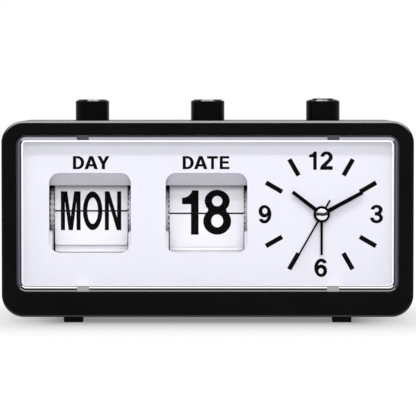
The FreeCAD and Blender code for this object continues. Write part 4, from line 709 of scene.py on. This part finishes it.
cap_low, cap_high = (Vector(corner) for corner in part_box("second_hand_cap"))
CAP_RADIUS = (cap_high.x - cap_low.x) / 2
RIM_SHARE = 0.35
CAP_STEPS, CAP_ROUND = 10, 48
cap_back, cap_edge = cap_high.y, cap_high.y - RIM_SHARE * (cap_high.y - cap_low.y)
dome = bmesh.new()
outline = [Vector((0, cap_back, 0)), Vector((CAP_RADIUS, cap_back, 0))]
for step in range(CAP_STEPS + 1):
    angle = math.pi / 2 * step / CAP_STEPS
    rise = (cap_edge - cap_low.y) * math.sin(angle)
    outline.append(Vector((CAP_RADIUS * math.cos(angle), cap_edge - rise, 0)))
corners = [dome.verts.new(point) for point in outline]
edges = [dome.edges.new(pair) for pair in zip(corners, corners[1:])]
bmesh.ops.spin(
    dome,
    geom=corners + edges,
    cent=(0, 0, 0),
    axis=(0, 1, 0),
    angle=2 * math.pi,
    steps=CAP_ROUND,
    use_merge=True,
)
bmesh.ops.remove_doubles(dome, verts=dome.verts, dist=MICRON)
bmesh.ops.translate(dome, verts=dome.verts, vec=(CLOCK_X, 0, CLOCK_Z))
for face in dome.faces:
    face.smooth = True
polished_cap = add_piece("polished_cap", dome, cap_chrome, "second_hand_unit")
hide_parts("second_hand_cap")

# ---- Rear cover, battery box, knobs and slide ----
# The cover closes the housing from behind with pan-head screws. It holds two cells under a
# hinged door, the sounder behind its slots, the setting knobs and the alarm slide.

cell_blue = moulded("cell_blue", (0.05, 0.10, 0.30), (0.07, 0.13, 0.36), (0.25, 0.32))
finish(frame_black, "rear_cover", "battery_door", "alarm_switch")
finish(button_black, "time_knob", "alarm_knob")
finish(cell_blue, "battery_cells")
finish(spring_steel, "battery_contacts", "cover_screws")
finish(pipe_brass, "alarm_buzzer")
finish(switch_white, "alarm_slide")

HEAD_RADIUS, RECESS_ARM, RECESS_WIDTH = 1.9 * MM, 1.15 * MM, 0.38 * MM
# The cross recesses in the screw heads are flat black films: painted shade where the hollows are.
recess_painted_shade = moulded(
    "recess_painted_shade", (0.004, 0.004, 0.004), (0.006, 0.006, 0.006), (0.6, 0.7), gloss=0.1
)
screws_low, screws_high = (Vector(corner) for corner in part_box("cover_screws"))
recess = bmesh.new()
for across in (screws_low.x + HEAD_RADIUS, screws_high.x - HEAD_RADIUS):
    for level in (screws_low.z + HEAD_RADIUS, screws_high.z - HEAD_RADIUS):
        head = Vector((across, screws_high.y, level))
        arms = []
        for quarter in range(4):
            turn = quarter * math.pi / 2
            along = Vector((math.cos(turn), 0, math.sin(turn)))
            beside = Vector((-along.z, 0, along.x)) * RECESS_WIDTH / 2
            tip = head + along * RECESS_ARM
            arms += [head + along * RECESS_WIDTH / 2 - beside, tip - beside, tip + beside]
        recess.faces.new([recess.verts.new(corner) for corner in arms])
cross = thicken(recess, screws_high.y - INK_HEIGHT, 1)
add_piece("screw_recesses", cross, recess_painted_shade, "base")

# ---- Lens ----
# A clear polystyrene tray snapped into the front ring. Its flat face is hardly seen. Its thick
# walls gather light, painted on them as a faint lavender band of painted highlights and painted
# shade, paler along the top and the bottom.

lens_low, lens_high = (Vector(corner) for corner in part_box("lens"))
LENS_HALF_WIDTH = (lens_high.x - lens_low.x) / 2
LENS_HALF_HEIGHT = (lens_high.z - lens_low.z) / 2
LENS_MIDDLE_Z = (lens_high.z + lens_low.z) / 2
LENS_CORNER = 5.2 * MM
POLISH, TINT_PATCHES = 0.04, 60.0
GLEAM = 1.06  # refraction, kept low because the white room would mirror in the flat face
# Both ends and each stripe's place are shares of the wall's thickness, from outside inwards.
LENS_WALL, WALL_END, TAB_END = 3.2 * MM, 1.05, 0.8
# The stripes are painted light and shade: pale lines are painted highlights and dark lines painted
# shade. The top and bottom are painted paler than the sides, as light falls from above.
SIDE_STRIPES = [
    (0.0, (0.036, 0.036, 0.040)), (0.22, (0.034, 0.033, 0.040)), (0.38, (0.110, 0.111, 0.158)),
    (0.54, (0.085, 0.086, 0.120)), (0.66, (0.010, 0.010, 0.013)), (0.75, (0.010, 0.010, 0.013)),
    (0.86, (0.62, 0.62, 0.68)), (0.95, (0.80, 0.80, 0.86)),
]
TOP_STRIPES = [
    (0.0, (0.025, 0.024, 0.028)), (0.18, (0.026, 0.025, 0.030)), (0.34, (0.15, 0.15, 0.17)),
    (0.49, (0.48, 0.49, 0.60)), (0.655, (0.20, 0.195, 0.235)), (0.81, (0.62, 0.62, 0.65)),
    (0.93, (0.95, 0.95, 0.97)),
]
FOOT_STRIPES = [
    (0.0, (0.16, 0.16, 0.165)), (0.17, (0.30, 0.30, 0.305)), (0.28, (0.006, 0.006, 0.008)),
    (0.40, (0.006, 0.006, 0.008)), (0.50, (0.17, 0.17, 0.18)), (0.57, (0.50, 0.50, 0.52)),
    (0.62, (0.94, 0.94, 0.96)), (0.73, (0.94, 0.94, 0.96)), (0.78, (0.22, 0.22, 0.24)),
    (0.87, (0.22, 0.22, 0.24)), (0.94, (0.60, 0.60, 0.63)), (1.0, (0.95, 0.95, 0.96)),
]
# The upper and lower walls are painted one flat tone where the lens has its snap tabs: painted
# shade on the upper tabs, painted light on the lower ones.
TAB_MIDDLES, TAB_HALF_WIDTH = (-63.5 * MM, 64.0 * MM), 3.05 * MM
TOP_TAB_SHADE, FOOT_TAB_SHADE = (0.065, 0.060, 0.078), (0.31, 0.31, 0.33)


def diagonal(tree, first, second):
    """How far two distances at right angles reach together."""
    squares = [reckon(tree, "MULTIPLY", side, side) for side in (first, second)]
    return reckon(tree, "SQRT", reckon(tree, "ADD", *squares))


def layer(tree, factor, under, over):
    """One shader where the factor is zero, and the other where it is one."""
    mix = tree.nodes.new("ShaderNodeMixShader")
    for socket, source in zip(mix.inputs, (factor, under, over)):
        tree.links.new(source, socket)
    return mix.outputs["Shader"]


def lens_plastic(name):
    """Clear plastic whose wall is painted with bands of light and shade across its thickness."""
    material, tree, surface = bare_material(name)
    spot = spot_on(tree)
    sideways = reckon(tree, "ABSOLUTE", spot["X"])
    across = reckon(tree, "SUBTRACT", sideways, LENS_HALF_WIDTH - LENS_CORNER)
    raised = reckon(tree, "ABSOLUTE", reckon(tree, "SUBTRACT", spot["Z"], LENS_MIDDLE_Z))
    up = reckon(tree, "SUBTRACT", raised, LENS_HALF_HEIGHT - LENS_CORNER)
    square = reckon(tree, "MINIMUM", reckon(tree, "MAXIMUM", across, up), 0.0)
    bent = diagonal(tree, reckon(tree, "MAXIMUM", across, 0.0), reckon(tree, "MAXIMUM", up, 0.0))
    inwards = reckon(tree, "SUBTRACT", LENS_CORNER, reckon(tree, "ADD", bent, square))
    depth = reckon(tree, "DIVIDE", inwards, LENS_WALL)

    at_end = reckon(tree, "GREATER_THAN", up, across)
    at_foot = reckon(tree, "LESS_THAN", spot["Z"], LENS_MIDDLE_Z)
    off_tab = [
        reckon(tree, "ABSOLUTE", reckon(tree, "SUBTRACT", spot["X"], middle))
        for middle in TAB_MIDDLES
    ]
    in_tab = reckon(tree, "LESS_THAN", reckon(tree, "MINIMUM", *off_tab), TAB_HALF_WIDTH)
    before_tab = reckon(tree, "MULTIPLY", in_tab, reckon(tree, "LESS_THAN", depth, TAB_END))
    on_tab = reckon(tree, "MULTIPLY", at_end, before_tab)
    top, foot = (stripes(tree, depth, steps) for steps in (TOP_STRIPES, FOOT_STRIPES))
    ends = shade_mix(tree, at_foot, top, foot)
    walls = shade_mix(tree, at_end, stripes(tree, depth, SIDE_STRIPES), ends)
    tabs = shade_mix(tree, at_foot, TOP_TAB_SHADE, FOOT_TAB_SHADE)
    band = tree.nodes.new("ShaderNodeBsdfDiffuse")
    tree.links.new(shade_mix(tree, on_tab, walls, tabs), band.inputs["Color"])

    clear = tree.nodes.new("ShaderNodeBsdfTransparent")
    patches = speckle(tree, TINT_PATCHES)
    tint = tint_between(tree, patches, (0.985, 0.985, 0.995), (0.99, 0.99, 0.998))
    tree.links.new(tint, clear.inputs["Color"])
    rays = tree.nodes.new("ShaderNodeLightPath").outputs
    lit = reckon(tree, "MAXIMUM", rays["Is Shadow Ray"], rays["Is Diffuse Ray"])
    in_wall = reckon(tree, "LESS_THAN", depth, WALL_END)
    wall = reckon(tree, "MULTIPLY", in_wall, reckon(tree, "SUBTRACT", 1.0, lit))
    body = layer(tree, wall, clear.outputs["BSDF"], band.outputs["BSDF"])
    polish = tree.nodes.new("ShaderNodeBsdfGlossy")
    polish.inputs["Roughness"].default_value = POLISH
    edge_on = tree.nodes.new("ShaderNodeFresnel")
    edge_on.inputs["IOR"].default_value = GLEAM
    tree.links.new(layer(tree, edge_on.outputs["Fac"], body, polish.outputs["BSDF"]), surface)
    return material


finish(lens_plastic("lens_clear"), "lens")

# ---- Floor, lamps and camera ----
# The clock stands on white paper under soft lamps: two rows above the camera, one low in front
# and one far behind, whose light the housing and the buttons keep from the paper before them.

PAPER_SHADE, PAPER_HALF = (0.32, 0.32, 0.32, 1), 6.0
PLAIN_SHARE = 0.25  # how much of the paper right beside the clock is plain white
SHADOW_HALF = (75 * MM, 36 * MM)  # half the patch where that share holds, both ways
FADE_REACH, FADE_POWER = 105 * MM, 3.0
ROOM_LIGHT = 0.37


def background_rays(tree):
    """One for the rays that should meet the plain white background."""
    rays = tree.nodes.new("ShaderNodeLightPath").outputs
    mirrored = reckon(tree, "MAXIMUM", rays["Is Glossy Ray"], rays["Is Transmission Ray"])
    return reckon(tree, "MAXIMUM", rays["Is Camera Ray"], mirrored)


def studio_paper(name):
    """Paper that shows the lamps' shadows near the clock and is plain white further out. Near the
    clock it is also painted grey, a painted shadow patch that fades outwards.
    """
    material, tree, surface = bare_material(name)
    sheet = tree.nodes.new("ShaderNodeBsdfDiffuse")
    sheet.inputs["Color"].default_value = PAPER_SHADE
    white = tree.nodes.new("ShaderNodeEmission")
    spot = spot_on(tree)
    outside = []
    for way, half in zip("XY", SHADOW_HALF):
        past = reckon(tree, "SUBTRACT", reckon(tree, "ABSOLUTE", spot[way]), half)
        outside.append(reckon(tree, "MAXIMUM", past, 0.0))
    # Painted shadow: close around the clock the paper is grey even where lit, fading to plain
    # white outwards.
    near = spread_between(tree, diagonal(tree, *outside), 1.0, 0.0, 0.0, FADE_REACH)
    fade = reckon(tree, "POWER", near, FADE_POWER)
    plain = spread_between(tree, fade, 1.0, PLAIN_SHARE, 0.0, 1.0)
    shown = reckon(tree, "MULTIPLY", background_rays(tree), plain)
    tree.links.new(layer(tree, shown, sheet.outputs["BSDF"], white.outputs["Emission"]), surface)
    return material


floor_mesh = bpy.data.meshes.new("floor")
floor_shape = bmesh.new()
bmesh.ops.create_grid(floor_shape, x_segments=1, y_segments=1, size=PAPER_HALF)
floor_shape.to_mesh(floor_mesh)
floor_shape.free()
floor_mesh.materials.append(studio_paper("floor_paper"))
floor = bpy.data.objects.new("floor", floor_mesh)
bpy.context.scene.collection.objects.link(floor)
floor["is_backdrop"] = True

world = bpy.data.worlds.new("studio")
bpy.context.scene.world = world
world.use_nodes = True
world_tree = world.node_tree
world_tree.nodes.clear()
room, plain = (world_tree.nodes.new("ShaderNodeBackground") for _ in range(2))
for background, strength in ((room, ROOM_LIGHT), (plain, 1.0)):
    background.inputs["Color"].default_value = (1.0, 1.0, 1.0, 1)
    background.inputs["Strength"].default_value = strength
backgrounds = room.outputs["Background"], plain.outputs["Background"]
seen = layer(world_tree, background_rays(world_tree), *backgrounds)
world_tree.links.new(seen, world_tree.nodes.new("ShaderNodeOutputWorld").inputs["Surface"])


def lamp(name, place, aim, size, power):
    """A soft rectangular lamp, turned towards what it lights."""
    light = bpy.data.lights.new(name, "AREA")
    light.shape = "RECTANGLE"
    light.size, light.size_y = size
    light.energy = power
    holder = bpy.data.objects.new(name, light)
    holder.location = place
    holder.rotation_euler = (Vector(aim) - Vector(place)).to_track_quat("-Z", "Y").to_euler()
    bpy.context.scene.collection.objects.link(holder)
    return holder


DIAL_AIM, FOOT_AIM = (0, -0.02, 0.06), (0, 0, 0.05)
lamp("key", (0.0, -1.20, 0.92), DIAL_AIM, (1.6, 0.12), 5.0)
lamp("high", (0.0, -0.92, 1.22), DIAL_AIM, (1.6, 0.12), 9.5)
low_front = lamp("front", (0.0, -1.9, 0.46), FOOT_AIM, (1.1, 0.5), 20.5)
low_front.visible_glossy = False  # it would mirror white on the roof, seen from behind
lamp("back", (0.0, 2.30, 3.00), FOOT_AIM, (1.2, 0.35), 52.0)

FILM_WIDTH = 36.0
FRONT_Y = -35.0 * MM
VIEW_SIDE = 0.18 * MM
VIEW_AWAY = 1300.0 * MM  # from the housing's front face
VIEW_WIDTH = 211.55 * MM  # what the picture takes in there
VIEW_HEIGHT, AIM_HEIGHT = 115.5 * MM, 58.7 * MM
camera_data = bpy.data.cameras.new("camera")
camera_data.sensor_width = FILM_WIDTH
camera_data.lens = FILM_WIDTH * VIEW_AWAY / VIEW_WIDTH
camera = bpy.data.objects.new("camera", camera_data)
camera.location = (VIEW_SIDE, FRONT_Y - VIEW_AWAY, VIEW_HEIGHT)
aim = Vector((VIEW_SIDE, FRONT_Y, AIM_HEIGHT))
camera.rotation_euler = (aim - camera.location).to_track_quat("-Z", "Y").to_euler()
bpy.context.scene.collection.objects.link(camera)
bpy.context.scene.camera = camera
bpy.context.scene.view_settings.view_transform = "Standard"

low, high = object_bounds()
